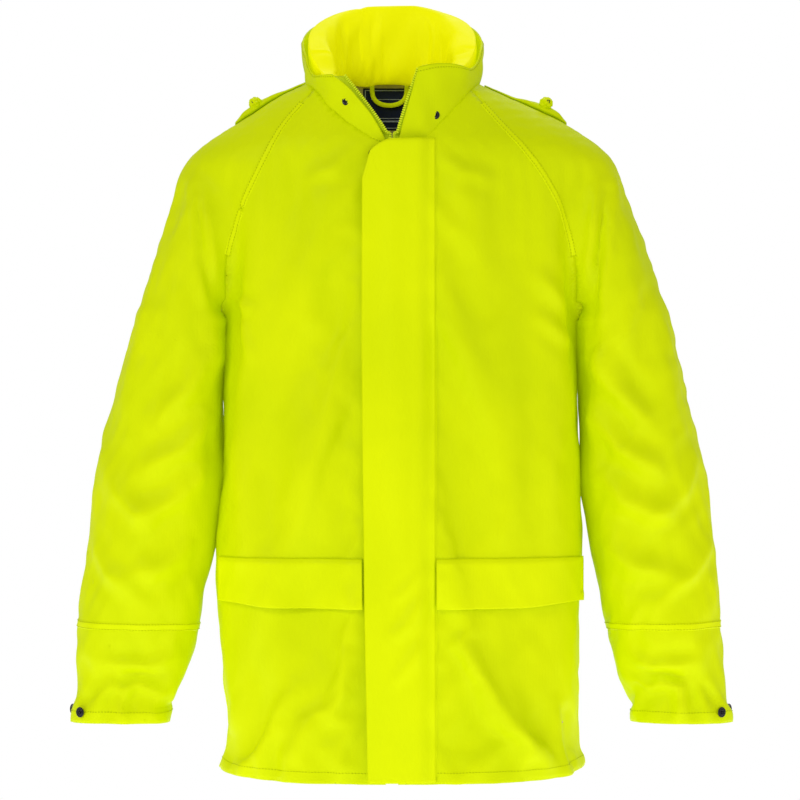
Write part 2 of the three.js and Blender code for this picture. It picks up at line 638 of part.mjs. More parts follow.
function shoulderTop(x) {
  let [high, low] = [5, SHOULDER_DROP];
  for (let i = 0; i < 30; i++) {
    const middle = (high + low) / 2;
    if (torsoHalfWidth(middle) < x) high = middle;
    else low = middle;
  }
  return -high;
}

function addShoulderTabs() {
  const length = TAB_OUTER - TAB_INNER;
  const fall = shoulderTop(TAB_INNER) - shoulderTop(TAB_OUTER);
  const middle = (TAB_INNER + TAB_OUTER) / 2;
  const bulge = shoulderTop(middle) - (shoulderTop(TAB_INNER) + shoulderTop(TAB_OUTER)) / 2;
  for (const [name, side] of [['left', 1], ['right', -1]]) {
    const group = new THREE.Group();
    group.position.set(side * middle, TORSO_Y, shoulderTop(middle));
    group.rotation.y = side * Math.atan(fall / length);
    jacket.add(group);
    const reach = Math.hypot(length, fall) / 2;
    const low = 1.2 + bulge * 0.2;
    add(`shoulder_tab_${name}`, YELLOW,
      block(-reach, reach, -TAB_WIDTH / 2, TAB_WIDTH / 2, low, low + 2 * PLY), group);
    const toggle = new THREE.SphereGeometry(1, 10, 6).scale(...TOGGLE_SIZE);
    toggle.translate(0, 0, low + 2 * PLY + PLY_GAP + TOGGLE_SIZE[2]);
    add(`tab_toggle_${name}`, YELLOW, toggle, group);
  }
}

addBody();
addSleeves();
addCollar();
addNeckInside();
addZip();
addSlider();
addStormFlap();
addPockets();
addCollarStuds();
addShoulderTabs();

export default jacket;
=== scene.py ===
"""A yellow waterproof jacket, hanging from the nape.
Lengths are in millimetres until a mesh is made, then metres.
+Z is up, the front faces -Y and the wearer's left is +X. The origin is centre back at the neck seam."""
import json
import math
import bpy
import numpy as np
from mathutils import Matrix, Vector
from mathutils.bvhtree import BVHTree
from mathutils.kdtree import KDTree

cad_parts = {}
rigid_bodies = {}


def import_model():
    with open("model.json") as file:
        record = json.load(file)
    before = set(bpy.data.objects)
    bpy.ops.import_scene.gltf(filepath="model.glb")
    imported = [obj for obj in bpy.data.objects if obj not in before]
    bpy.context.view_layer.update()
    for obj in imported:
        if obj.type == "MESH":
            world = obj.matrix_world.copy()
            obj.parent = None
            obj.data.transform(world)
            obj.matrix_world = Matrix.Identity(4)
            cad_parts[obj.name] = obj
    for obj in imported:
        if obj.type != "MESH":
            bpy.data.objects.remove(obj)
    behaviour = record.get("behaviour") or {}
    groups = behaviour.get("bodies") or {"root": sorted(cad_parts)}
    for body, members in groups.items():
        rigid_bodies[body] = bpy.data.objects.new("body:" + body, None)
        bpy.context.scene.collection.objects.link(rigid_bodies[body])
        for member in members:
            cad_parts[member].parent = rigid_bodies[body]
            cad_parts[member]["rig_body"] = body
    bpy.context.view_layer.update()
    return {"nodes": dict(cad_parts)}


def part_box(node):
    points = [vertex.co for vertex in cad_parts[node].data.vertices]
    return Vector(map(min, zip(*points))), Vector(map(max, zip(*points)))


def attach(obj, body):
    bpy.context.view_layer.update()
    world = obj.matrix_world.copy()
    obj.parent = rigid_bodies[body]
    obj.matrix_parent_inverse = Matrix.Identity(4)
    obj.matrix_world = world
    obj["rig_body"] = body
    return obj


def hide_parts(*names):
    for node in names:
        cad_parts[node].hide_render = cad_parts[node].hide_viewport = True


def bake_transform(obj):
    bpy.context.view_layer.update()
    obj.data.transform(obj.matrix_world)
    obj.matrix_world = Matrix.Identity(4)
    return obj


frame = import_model()


def node_box(name):
    """A CAD node's corners, in millimetres."""
    return [np.array(corner) * 1000 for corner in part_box(name)]


# ---- sizes, from the frame ----

BACK_LOW, BACK_HIGH = node_box("back_panel")
FLAP_LOW, FLAP_HIGH = node_box("storm_flap")
POCKET_LOW, POCKET_HIGH = node_box("pocket_flap_left")
CUFF_LOW, CUFF_HIGH = node_box("sleeve_lower_left")
COLLAR_LOW, COLLAR_HIGH = node_box("collar")
HEM = -BACK_LOW[2]
SLEEVE_DROP = -CUFF_LOW[2]
FOREARM_Z = CUFF_HIGH[2] + 0.3
CHEST, SHOULDER_X, SHOULDER_DROP, ARMPIT_DROP = 212.0, 250.0, 97.0, 255.0
MIDDLE_Y = -90.0
ZIP_X = -10.0
FRONT_NECK_DROP = 75.0
SLEEVE_OUT = 134.0
CUFF_WIDTH = 118.0
COLLAR_LEAN = -10.0  # the collar sits a little to the wearer's right
HEM_ALLOWANCE = 14.0
HEM_STITCH_RISE = 12.5
VOXEL, QUICK_VOXEL, DRAPE_VOXEL = 4.6, 5.8, 10.5
FOLD_SCALE = 1.25  # all folds together
MOST_DRAPE = 9.0  # how far hanging may move the cloth


# ---- camera, floor and light ----

def make_camera():
    data = bpy.data.cameras.new("camera")
    data.lens, data.sensor_width = 174.6, 36
    camera = bpy.data.objects.new("camera", data)
    camera.location = (-0.001, -4.59, -0.369)
    camera.rotation_euler = (math.pi / 2, 0, 0)
    bpy.context.scene.collection.objects.link(camera)
    bpy.context.scene.camera = camera


def area_light(name, place, size, power, towards=(0, -0.09, -0.4)):
    data = bpy.data.lights.new(name, "AREA")
    data.energy, data.size = power, size
    lamp = bpy.data.objects.new(name, data)
    lamp.location = place
    aim = Vector(towards) - Vector(place)
    lamp.rotation_euler = aim.to_track_quat("-Z", "Y").to_euler()
    bpy.context.scene.collection.objects.link(lamp)


def make_stage():
    scene = bpy.context.scene
    scene.view_settings.view_transform = "Standard"
    world = bpy.data.worlds.new("studio")
    world.use_nodes = True
    tree = world.node_tree
    soft = tree.nodes["Background"]
    soft.inputs[0].default_value, soft.inputs[1].default_value = (1, 1, 1, 1), 0.50
    kinds = "Background", "LightPath", "MixShader"
    seen, paths, mix = (tree.nodes.new(f"ShaderNode{kind}") for kind in kinds)
    seen.inputs[0].default_value, seen.inputs[1].default_value = (1, 1, 1, 1), 1.0
    tree.links.new(paths.outputs["Is Camera Ray"], mix.inputs[0])
    tree.links.new(soft.outputs[0], mix.inputs[1])
    tree.links.new(seen.outputs[0], mix.inputs[2])
    tree.links.new(mix.outputs[0], tree.nodes["World Output"].inputs["Surface"])
    scene.world = world
    turn = np.linspace(0, 2 * np.pi, 96, endpoint=False)
    ring = np.stack([1800 * np.cos(turn), 1800 * np.sin(turn), np.full(96, -1050.0)], 1)
    mesh_object("floor", ring, [tuple(range(96))], PALE)
    area_light("key", (-2.2, -2.9, 1.9), 1.1, 35)
    area_light("fill", (2.6, -2.6, 0.8), 2.0, 11)
    area_light("low", (-0.4, -3.4, -0.9), 1.6, 4)
    area_light("rim", (0.3, 1.6, 1.9), 1.6, 16)


# ---- materials ----

class Shader:
    """A node material with a Principled shader and helpers to wire textures into it."""

    def __init__(self, name, color, roughness, **sockets):
        self.material = bpy.data.materials.new(name)
        self.material.use_nodes = True
        self.tree = self.material.node_tree
        self.bsdf = self.tree.nodes["Principled BSDF"]
        self.bsdf.inputs["Base Color"].default_value = (*color, 1)
        self.bsdf.inputs["Roughness"].default_value = roughness
        for key, value in sockets.items():
            self.bsdf.inputs[key.replace("_", " ")].default_value = value
        self.place = self.node("ShaderNodeTexCoord").outputs["Object"]
        self.color = color
        self.height = None

    def node(self, kind, **settings):
        made = self.tree.nodes.new(kind)
        for key, value in settings.items():
            setattr(made, key, value)
        return made

    def link(self, a, b):
        self.tree.links.new(a, b)

    def texture(self, kind, scale, stretch=(1, 1, 1), detail=2.0, **settings):
        """A noise, voronoi or wave value over the object, stretched along its axes."""
        mapping = self.node("ShaderNodeMapping")
        mapping.inputs["Scale"].default_value = stretch
        self.link(self.place, mapping.inputs["Vector"])
        made = self.node(f"ShaderNodeTex{kind}", **settings)
        made.inputs["Scale"].default_value = scale
        if "Detail" in made.inputs:
            made.inputs["Detail"].default_value = detail
        self.link(mapping.outputs["Vector"], made.inputs["Vector"])
        return made.outputs["Distance" if kind == "Voronoi" else 0]

    def vary_color(self, value, dark, light, low=0.35, high=0.65):
        """The base colour runs from dark to light times the colour, as the value does."""
        ramp = self.node("ShaderNodeValToRGB")
        ramp.color_ramp.elements[0].position = low
        ramp.color_ramp.elements[1].position = high
        for element, factor in zip(ramp.color_ramp.elements, (dark, light)):
            element.color = (*[min(1.0, c * f) for c, f in zip(self.color, factor)], 1)
        self.link(value, ramp.inputs["Fac"])
        self.link(ramp.outputs["Color"], self.bsdf.inputs["Base Color"])

    def vary_roughness(self, value, low, high):
        span = self.node("ShaderNodeMapRange")
        span.inputs["To Min"].default_value = low
        span.inputs["To Max"].default_value = high
        self.link(value, span.inputs["Value"])
        self.link(span.outputs["Result"], self.bsdf.inputs["Roughness"])

    def bump(self, value, strength, distance):
        made = self.node("ShaderNodeBump")
        made.inputs["Strength"].default_value = strength
        made.inputs["Distance"].default_value = distance
        self.link(value, made.inputs["Height"])
        if self.height is not None:
            self.link(self.height, made.inputs["Normal"])
        self.height = made.outputs["Normal"]
        self.link(self.height, self.bsdf.inputs["Normal"])


def woven(shader, pitch, depth, strength=0.5):
    """Warp and weft threads, pitch metres apart."""
    for stretch in ((1, 0.02, 0.02), (0.02, 0.02, 1)):
        threads = shader.texture("Wave", 1 / pitch / 6.2, stretch, wave_profile="SIN")
        shader.bump(threads, strength, depth)


def coated_fabric(name, color, glow=0.05):
    shader = Shader(name, color, 0.5, Specular_IOR_Level=0.05,
                    Emission_Color=(*color, 1), Emission_Strength=glow)
    shader.vary_color(shader.texture("Noise", 7, detail=4), (0.93, 0.95, 1), (1.03, 1.02, 1))
    shader.vary_roughness(shader.texture("Noise", 90, detail=3), 0.44, 0.58)
    shader.bump(shader.texture("Noise", 34, (1.3, 1, 0.45), detail=4), 0.30, 0.0035)
    shader.bump(shader.texture("Noise", 210, (1, 1, 0.8), detail=3), 0.22, 0.0006)
    woven(shader, 0.0009, 0.0001, 0.3)
    return shader.material


def plain_cloth(name, color, pitch, roughness=0.85, depth=0.0002, glow=0.0):
    shader = Shader(name, color, roughness, Specular_IOR_Level=0.15, Sheen_Weight=0.05,
                    Emission_Color=(*color, 1), Emission_Strength=glow)
    shader.vary_color(shader.texture("Noise", 25, detail=5), (0.86, 0.86, 0.86), (1.06, 1.06, 1.06))
    shader.bump(shader.texture("Noise", 60, detail=3), 0.3, 0.0015)
    woven(shader, pitch, depth)
    return shader.material


def metal(name, color):
    shader = Shader(name, color, 0.34, Metallic=0.85, Coat_Weight=0.2)
    shader.vary_color(shader.texture("Noise", 260, detail=4), (0.7, 0.7, 0.72), (1.6, 1.6, 1.65))
    shader.vary_roughness(shader.texture("Noise", 500, detail=3), 0.26, 0.48)
    shader.bump(shader.texture("Noise", 900, detail=2), 0.25, 0.0001)
    return shader.material


def pale_floor():
    shader = Shader("floor_paint", (0.93, 0.93, 0.93), 0.8,
                    Emission_Color=(1, 1, 1, 1), Emission_Strength=0.85)
    shader.vary_color(shader.texture("Noise", 2), (0.99, 0.99, 0.99), (1.01, 1.01, 1.01))
    return shader.material


YELLOW = coated_fabric("coated_fabric", (0.685, 0.80, 0.0))
TRIM = coated_fabric("seam_binding", (0.74, 0.85, 0.0), 0.07)
# The hood roll's fabric is a brighter copy of the coated fabric with a strong glow: painted light that
# brightens the roll where it sits in the collar's shade.
HOOD_FABRIC_PAINTED_GLOW = coated_fabric("hood_fabric_painted_glow", (0.88, 0.88, 0.0), 0.27)
# The lining's cream, darkened towards ochre: the lining's own colour with painted shade of the jacket's dim
# inside mixed in.
LINING_WITH_PAINTED_SHADE = plain_cloth("lining", (0.55, 0.50, 0.22), 0.0014)
TAPE = plain_cloth("zip_tape", (0.60, 0.73, 0.0), 0.0012, 0.6, glow=0.03)
NAVY = plain_cloth("label_navy", (0.010, 0.016, 0.045), 0.0008, 0.7)
SILVER = plain_cloth("label_thread", (0.35, 0.40, 0.48), 0.0006, 0.6)
THREAD = coated_fabric("thread", (0.52, 0.60, 0.0), 0.03)
TEETH = coated_fabric("zip_teeth", (0.74, 0.85, 0.02), 0.08)
GUNMETAL = metal("gunmetal", (0.018, 0.018, 0.022))
PALE = pale_floor()


# ---- meshes ----

def mesh_object(name, points, faces, *materials, smooth=True):
    """A mesh from points in millimetres."""
    mesh = bpy.data.meshes.new(name)
    mesh.from_pydata((np.asarray(points, float) / 1000).tolist(), [], [tuple(map(int, f)) for f in faces])
    mesh.update()
    if smooth:
        mesh.polygons.foreach_set("use_smooth", [True] * len(mesh.polygons))
    for material in materials:
        mesh.materials.append(material)
    made = bpy.data.objects.new(name, mesh)
    bpy.context.scene.collection.objects.link(made)
    return made


def grid_faces(rows, columns, closed=False, flip=False):
    faces = []
    for r in range(rows - 1):
        for c in range(columns if closed else columns - 1):
            d = (c + 1) % columns
            face = (r * columns + c, r * columns + d, (r + 1) * columns + d, (r + 1) * columns + c)
            faces.append(face[::-1] if flip else face)
    return faces


def thicken(piece, thickness, lined=True):
    """A cloth's own thickness, inwards, with the lining on the inside."""
    solid = piece.modifiers.new("thickness", "SOLIDIFY")
    solid.thickness, solid.offset = thickness / 1000, -1
    if lined and len(piece.data.materials) > 1:
        solid.material_offset = 1
    return piece


def evaluated(piece):
    """The vertices (mm) and faces of a piece with its modifiers."""
    graph = bpy.context.evaluated_depsgraph_get()
    mesh = piece.evaluated_get(graph).to_mesh()
    count = len(mesh.vertices)
    points = np.zeros(count * 3)
    mesh.vertices.foreach_get("co", points)
    faces = [tuple(p.vertices) for p in mesh.polygons]
    return points.reshape(-1, 3) * 1000, faces


def smoothstep(t):
    t = np.clip(t, 0, 1)
    return t * t * (3 - 2 * t)


def signed_power(value, power):
    return np.sign(value) * np.abs(value) ** power


def join_meshes(name, parts, *materials):
    """One mesh from several (points, faces, material index)."""
    points, faces, index, offset = [], [], [], 0
    for p, f, m in parts:
        points.append(np.asarray(p, float))
        faces += [tuple(i + offset for i in face) for face in f]
        index += [m] * len(f)
        offset += len(p)
    made = mesh_object(name, np.concatenate(points), faces, *materials)
    made.data.polygons.foreach_set("material_index", index)
    return made


# ---- the body of the jacket: one skin, then cut into its panels ----

def torso_half_width(drop):
    share = (drop - 5) / 92
    slope = 104 + 146 * (1 - signed_power(1 - share, 1.35))
    side = np.interp(drop, [SHOULDER_DROP, ARMPIT_DROP], [SHOULDER_X, CHEST])
    return np.where(drop < SHOULDER_DROP, slope, side)


def front_depth(drop):
    past = drop - FRONT_NECK_DROP
    return 100 + past * np.where(past < 0, 0.47, 45 / (HEM - FRONT_NECK_DROP))


def back_depth(drop):
    chest = np.interp(drop, [SHOULDER_DROP, ARMPIT_DROP], [90 + 0.32 * SHOULDER_DROP, 140])
    return np.where(drop < SHOULDER_DROP, 90 + 0.32 * drop, chest)


def torso_ring(drop, sides=150):
    turn = np.arange(sides) * 2 * np.pi / sides
    across, along = signed_power(np.cos(turn), 2 / 2.4), signed_power(np.sin(turn), 2 / 2.4)
    depth = np.where(along < 0, front_depth(drop), back_depth(drop))
    return np.stack([torso_half_width(drop) * across, MIDDLE_Y + depth * along, np.full(sides, -drop)], 1)


def sleeve_rib(share, sides=90):
    """A ring round the sleeve: share 0 is the armhole and 1 the cuff. Below 0 lies inside the body."""
    turn = np.arange(sides) * 2 * np.pi / sides
    if share < 0:
        outer, inner, depth = np.array([185, -85.0]), np.array([185, -235.0]), 78.0
    else:
        s = min(share, 1.0)
        past = (share - s) * 300
        drop = SHOULDER_DROP + s * (SLEEVE_DROP - SHOULDER_DROP)
        outer = np.array([SHOULDER_X + SLEEVE_OUT * (1 - (1 - s) ** 2.2), -drop - past])
        under = ARMPIT_DROP + s * (SLEEVE_DROP - ARMPIT_DROP)
        hang = max(0.0, (under - 475) / (SLEEVE_DROP - 475)) ** 1.3
        reach = CHEST + 5 * smoothstep(s * 12)
        inner = np.array([reach + (SHOULDER_X + SLEEVE_OUT - CUFF_WIDTH - reach) * hang, -under - past])
        depth = 94 + (47 - 94) * s
    middle, half = (outer + inner) / 2, (outer - inner) / 2
    across = signed_power(np.cos(turn), 0.92)
    along = signed_power(np.sin(turn), 0.92)
    plane = middle + half * across[:, None]
    return np.stack([plane[:, 0], MIDDLE_Y + 8 + depth * along, plane[:, 1]], 1)


def closed_loft(rings):
    """Points and faces of a closed solid through the rings."""
    sides, count = len(rings[0]), len(rings)
    points = np.concatenate([*rings, [rings[0].mean(0)], [rings[-1].mean(0)]])
    faces = grid_faces(count, sides, closed=True)
    low, high = count * sides, count * sides + 1
    last = (count - 1) * sides
    faces += [(low, (i + 1) % sides, i) for i in range(sides)]
    faces += [(high, last + i, last + (i + 1) % sides) for i in range(sides)]
    return points, faces


SPREAD = 46.0  # the sleeves stand off by this while the skin is made, so that they don't fuse with the body


def stand_off(z):
    return SPREAD * smoothstep((-z - ARMPIT_DROP - 4) / 60)


def rough_skin(voxel, rounds):
    """Body and sleeves as one closed skin of small quads. Returns points and quads."""
    low = np.linspace(106, HEM + HEM_ALLOWANCE, 60)
    drops = np.concatenate([[-10, -4], np.linspace(3, 97, 16), low])
    parts = [closed_loft([torso_ring(d) for d in drops])]
    shares = [-1, *np.linspace(0, 1, 46), 1.05]
    rings = [sleeve_rib(s) for s in shares]
    points, faces = closed_loft(rings)
    points[:, 0] += stand_off(points[:, 2])
    parts.append((points, faces))
    mirrored = points * np.array([-1, 1, 1])
    parts.append((mirrored, [f[::-1] for f in faces]))
    block = join_meshes("rough_skin", [(p, f, 0) for p, f in parts])
    remesh = block.modifiers.new("voxels", "REMESH")
    remesh.mode, remesh.voxel_size = "VOXEL", voxel / 1000
    points, faces = evaluated(block)
    bpy.data.objects.remove(block)
    quads = np.array([f for f in faces if len(f) == 4])
    points = relax(points, quads, rounds)
    arm = np.abs(points[:, 0]) > CHEST + 2.5 + stand_off(points[:, 2]) * 0.55
    arm &= points[:, 2] < -ARMPIT_DROP + 4
    points[:, 0] -= np.where(arm, np.sign(points[:, 0]) * stand_off(points[:, 2]), 0)
    return points, quads


def halved(quads):
    return np.concatenate([quads[:, [0, 1, 2]], quads[:, [0, 2, 3]]])


def neighbours(faces, count):
    """Each edge both ways, and how many edges each vertex has."""
    pairs = np.concatenate([faces[:, [i, (i + 1) % faces.shape[1]]] for i in range(faces.shape[1])])
    pairs = np.unique(np.sort(pairs, 1), axis=0)
    pairs = np.concatenate([pairs, pairs[:, ::-1]])
    degree = np.bincount(pairs[:, 0], minlength=count)
    return pairs, np.maximum(degree, 1)


def average_round(values, pairs, degree):
    start, end = pairs.T
    columns = [np.bincount(start, column[end], minlength=len(values)) for column in values.T]
    return np.stack(columns, 1) / degree[:, None]


def relax(points, faces, rounds, share=0.5):
    pairs, degree = neighbours(faces, len(points))
    for _ in range(rounds):
        points = points + share * (average_round(points, pairs, degree) - points)
    return points


def vertex_normals(points, triangles):
    a, b, c = (points[triangles[:, k]] for k in range(3))
    flat = np.cross(b - a, c - a)
    total = np.zeros_like(points)
    for k in range(3):
        for axis in range(3):
            total[:, axis] += np.bincount(triangles[:, k], flat[:, axis], minlength=len(points))
    return total / np.maximum(np.linalg.norm(total, axis=1, keepdims=True), 1e-9)


def to_path(points, path):
    """Distance from points to a polyline, signed by its side, and how far along it they are."""
    best = np.full(len(points), 1e9)
    signed, along = np.zeros(len(points)), np.zeros(len(points))
    lengths = np.linalg.norm(np.diff(path, axis=0), axis=1)
    starts = np.concatenate([[0], np.cumsum(lengths)])
    for i, length in enumerate(lengths):
        a, d = path[i], (path[i + 1] - path[i]) / length
        rel = points - a
        t = np.clip(rel @ d, 0, length)
        off = rel - t[:, None] * d
        distance = np.linalg.norm(off, axis=1)
        side = np.sign(d[0] * rel[:, 1] - d[1] * rel[:, 0])
        near = distance < best
        best = np.where(near, distance, best)
        signed = np.where(near, distance * side, signed)
        along = np.where(near, (starts[i] + t) / starts[-1], along)
    return signed, along


# ---- folds ----

FRONT_FOLDS = [  # (path in X and Z, half width, height), seen from the front
    ([(-205, -245), (-185, -253), (-166, -262)], 9, 3.0),
    ([(-182, -262), (-178, -292), (-172, -318)], 8, 2.4),
    ([(188, -262), (170, -240), (146, -214)], 12, 3.2),
    ([(200, -300), (178, -286), (150, -262)], 10, 2.6),
    ([(-128, -690), (-152, -738), (-184, -800)], 15, 5.0),
    ([(-152, -742), (-158, -770), (-160, -806)], 10, 3.2),
    ([(72, -640), (118, -712), (176, -806)], 17, 5.0),
    ([(180, -712), (184, -760), (188, -810)], 10, 4.0),
    ([(120, -655), (140, -720), (138, -800)], 14, 3.0),
    ([(-60, -640), (-72, -720), (-66, -806)], 16, 3.0),
    ([(-130, -330), (-120, -430), (-126, -540)], 26, 3.0),
    ([(122, -330), (128, -430), (118, -540)], 26, 3.0),
    ([(-190, -420), (-176, -480), (-182, -540)], 16, 3.0),
    ([(186, -360), (172, -430), (180, -520)], 16, 3.5),
    ([(70, -120), (86, -210), (80, -330)], 24, 2.4),
    ([(-90, -120), (-104, -210), (-96, -330)], 24, 2.4),
    ([(-48, -84), (-70, -104), (-110, -118)], 10, 1.8),
    ([(44, -90), (70, -108), (116, -120)], 10, 1.8),
]
ARM_FOLDS = [  # the same for both arms, as distance out from the middle
    ([(238, -128), (232, -190), (219, -262)], 8, -4.5),
    ([(262, -140), (270, -220), (262, -330)], 18, 3.6),
    ([(292, -190), (306, -290), (318, -400)], 20, 4.0),
    ([(228, -300), (250, -350), (292, -390)], 15, 5.0),
    ([(226, -372), (256, -418), (306, -446)], 14, 4.6),
    ([(232, -440), (262, -478), (322, -500)], 15, 4.6),
    ([(352, -420), (330, -470), (280, -512)], 15, 3.6),
    ([(236, -520), (272, -552), (330, -566)], 15, 4.4),
    ([(368, -520), (340, -560), (290, -600)], 12, 3.6),
    ([(262, -655), (292, -668), (346, -664)], 10, 3.4),
    ([(276, -700), (300, -690), (330, -702)], 9, 2.8),
    ([(318, -742), (322, -716), (316, -690)], 9, 2.6),
    ([(352, -742), (350, -716), (344, -694)], 8, 2.2),
]


def fold_height(points, folds):
    """How far cloth stands out at points in X and Z."""
    height = np.zeros(len(points))
    for path, width, rise in folds:
        width, rise = width * 0.78, rise * 1.5
        signed, along = to_path(points, np.array(path, float))
        ridge = np.exp(-((signed / width) ** 2))
        ridge -= 0.35 * np.exp(-(((np.abs(signed) - 2 * width) / width) ** 2))
        height += rise * ridge * np.sin(np.pi * np.clip(along, 0.02, 0.98)) ** 0.6
    return height


def drift(points, seed, count=10, across=(70, 190), down=(240, 620)):
    """Slow, irregular waves that mostly run down the cloth, about -1 to 1."""
    local = np.random.default_rng(seed)
    total = np.zeros(len(points))
    for _ in range(count):
        kx = 2 * np.pi / local.uniform(*across) * local.choice([-1, 1])
        ky = 2 * np.pi / local.uniform(*across) * local.choice([-1, 1])
        kz = 2 * np.pi / local.uniform(*down) * local.choice([-1, 1])
        total += np.sin(points @ np.array([kx, ky * 0.6, kz]) + local.uniform(0, 6.28))
    return total / math.sqrt(count)


def crumple(points, seed):
    """Small, irregular puckers, about -1 to 1."""
    return drift(points, seed, 22, (26, 75), (40, 130))


def folded_skin(points, triangles):
    """Adds folds to the skin."""
    normals = vertex_normals(points, triangles)
    x, y, z = points.T
    front = smoothstep((MIDDLE_Y - y) / 40)
    plan = np.stack([x, z], 1)
    arm_plan = np.stack([np.abs(x), z], 1)
    sleeve = smoothstep((np.abs(x) - 222 - 4) / 16) * smoothstep((-z - 100) / 40)
    body = 1 - sleeve
    quiet = smoothstep((np.abs(x - ZIP_X) - 24) / 50)
    ease = smoothstep((-z - 60) / 90)
    height = fold_height(plan, FRONT_FOLDS) * front * body
    left = smoothstep(x / 10)
    outside = smoothstep((np.abs(x) - 190) / 30)
    height += fold_height(arm_plan, ARM_FOLDS) * front * (0.85 + 0.3 * left) * outside
    behind = smoothstep((y - MIDDLE_Y) / 40)
    height += fold_height(np.stack([np.abs(x), z + 24], 1), ARM_FOLDS[1:]) * behind * sleeve
    height += drift(points, 3) * 2.6 * ease * body * (1 - 0.55 * front * (1 - quiet))
    height += drift(points, 5, 12, (90, 200), (160, 420)) * 2.0 * sleeve
    height += crumple(points, 9) * (0.45 * body * ease + 0.5 * sleeve)
    gather = smoothstep((z + FOREARM_Z * -1 + 60) / 60)
    height += crumple(points * 1.5, 12) * 0.5 * sleeve * gather
    return points + normals * (height * FOLD_SCALE)[:, None]


def drape():
    """Lets the folded skin hang as cloth under gravity, with slack to buckle.
    Returns a tree of its points and how they moved."""
    rest, quads = rough_skin(DRAPE_VOXEL, 3)
    folded = folded_skin(rest, halved(quads))
    piece = mesh_object("drape", folded, quads)
    x, y, z = rest.T
    hold = np.maximum.reduce([
        smoothstep((z + 150) / 60) * 0.9,
        smoothstep((60 - np.abs(x - ZIP_X)) / 30) * (y < MIDDLE_Y),
        smoothstep((-HEM + 34 - z) / 40),
        smoothstep((-SLEEVE_DROP + 30 - z) / 30) * (np.abs(x) > CHEST + 5),
    ])
    group = piece.vertex_groups.new(name="hold")
    for index, weight in enumerate(hold):
        if weight > 0.02:
            group.add([index], float(weight), "REPLACE")
    cloth = piece.modifiers.new("cloth", "CLOTH")
    settings = cloth.settings
    settings.quality, settings.mass = 4, 0.12
    settings.tension_stiffness, settings.compression_stiffness, settings.shear_stiffness = 18, 14, 6
    settings.bending_stiffness = 1.6
    settings.air_damping = 3
    settings.shrink_min = -0.035
    settings.vertex_group_mass, settings.pin_stiffness = "hold", 1.0
    settings.use_pressure, settings.uniform_pressure_force = True, 0.5
    cloth.collision_settings.use_collision = cloth.collision_settings.use_self_collision = False
    scene = bpy.context.scene
    for step in range(1, 19):
        scene.frame_set(step)
    settled, _ = evaluated(piece)
    scene.frame_set(1)
    bpy.data.objects.remove(piece)
    move = settled - folded
    size = np.linalg.norm(move, axis=1, keepdims=True)
    move *= np.tanh(size / MOST_DRAPE) * MOST_DRAPE / np.maximum(size, 1e-6)
    tree = KDTree(len(rest))
    for index, point in enumerate(rest):
        tree.insert(point, index)
    tree.balance()
    return tree, move


def draped(points, tree, move):
    """How the cloth moved at each point, from the nearest points that were let hang."""
    total = np.zeros_like(points)
    for k, point in enumerate(points):
        near = tree.find_n(point, 5)
        weights = np.array([1 / (n[2] + 1.5) ** 2 for n in near])
        total[k] = (move[[n[1] for n in near]] * weights[:, None]).sum(0) / weights.sum()
    return total


def shape_skin(points, quads):
    """The skin as it hangs, its sleeves against the body and its neck where the collar stands."""
    moved = folded_skin(points, halved(quads))
    moved += relax(draped(points, *drape()), quads, 2)
    x, _, z = points.T
    beside = np.exp(-(((np.abs(x) - CHEST - 5) / 22) ** 2)) * (np.abs(x) > CHEST + 2.4)
    beside *= smoothstep((-z - ARMPIT_DROP - 2) / 16) * smoothstep((z + 500) / 60)
    moved[:, 0] -= np.sign(x) * 7.5 * beside
    moved[:, 0] += COLLAR_LEAN * lean_share(points)
    return moved


def lean_share(points):
    x, y, z = points.T
    near_neck = smoothstep((z + 150) / 110) * smoothstep((190 - np.abs(x)) / 70)
    at_zip = np.where(y < MIDDLE_Y - 50, smoothstep((np.abs(x - ZIP_X) - 20) / 50), 1.0)
    return near_neck * at_zip


# ---- seams of the body ----

def bezier(a, b, c, count=40):
    t = np.linspace(0, 1, count)[:, None]
    a, b, c = (np.array(point, float) for point in (a, b, c))
    return (1 - t) ** 2 * a + 2 * t * (1 - t) * b + t ** 2 * c


def raglan(front):
    start = (104, -30) if front else (78, -1)
    curve = bezier(start, (208, -148), (209, -257))
    first = curve[0] + (curve[0] - curve[1]) * 6
    return np.concatenate([[first], curve, [[209, -262]]])


def neck_outside(points):
    """Above 0 outside the neck hole. The neck's column widens upwards."""
    x, y, z = points.T
    share = np.clip((z + 60) / 105, 0, 1)
    depth = np.where(y < MIDDLE_Y, 100 + share, 90 + 4 * share)
    ring = (np.abs(x) / (93 + 12 * share)) ** 2.4 + (np.abs(y - MIDDLE_Y) / depth) ** 2.4
    return np.where(z > -140, (ring ** (1 / 2.4) - 1) * 95, 60)


def hem_side(points):
    x, _, z = points.T
    return z + HEM - 9 * (np.abs(x) / CHEST) ** 6


def split_at(points, triangles, value):
    """Moves vertices near the value's zero line on to it, so that no triangle crosses it.
    Returns the values."""
    pairs, _ = neighbours(triangles, len(points))
    i, j = pairs.T
    crossing = value[i] * value[j] < 0
    i, j = i[crossing], j[crossing]
    nearer = np.abs(value[i]) <= np.abs(value[j])
    i, j = i[nearer], j[nearer]
    share = np.abs(value[i]) / (np.abs(value[i]) + np.abs(value[j]))
    target = points[i] + (points[j] - points[i]) * share[:, None]
    order = np.argsort(-np.linalg.norm(target - points[i], axis=1), kind="stable")
    points[i[order]] = target[order]
    value[i] = 0
    return value


def pick(points, triangles, chosen):
    """The chosen triangles as a mesh of their own."""
    kept = triangles[chosen]
    used, index = np.unique(kept, return_inverse=True)
    return points[used], index.reshape(-1, 3)


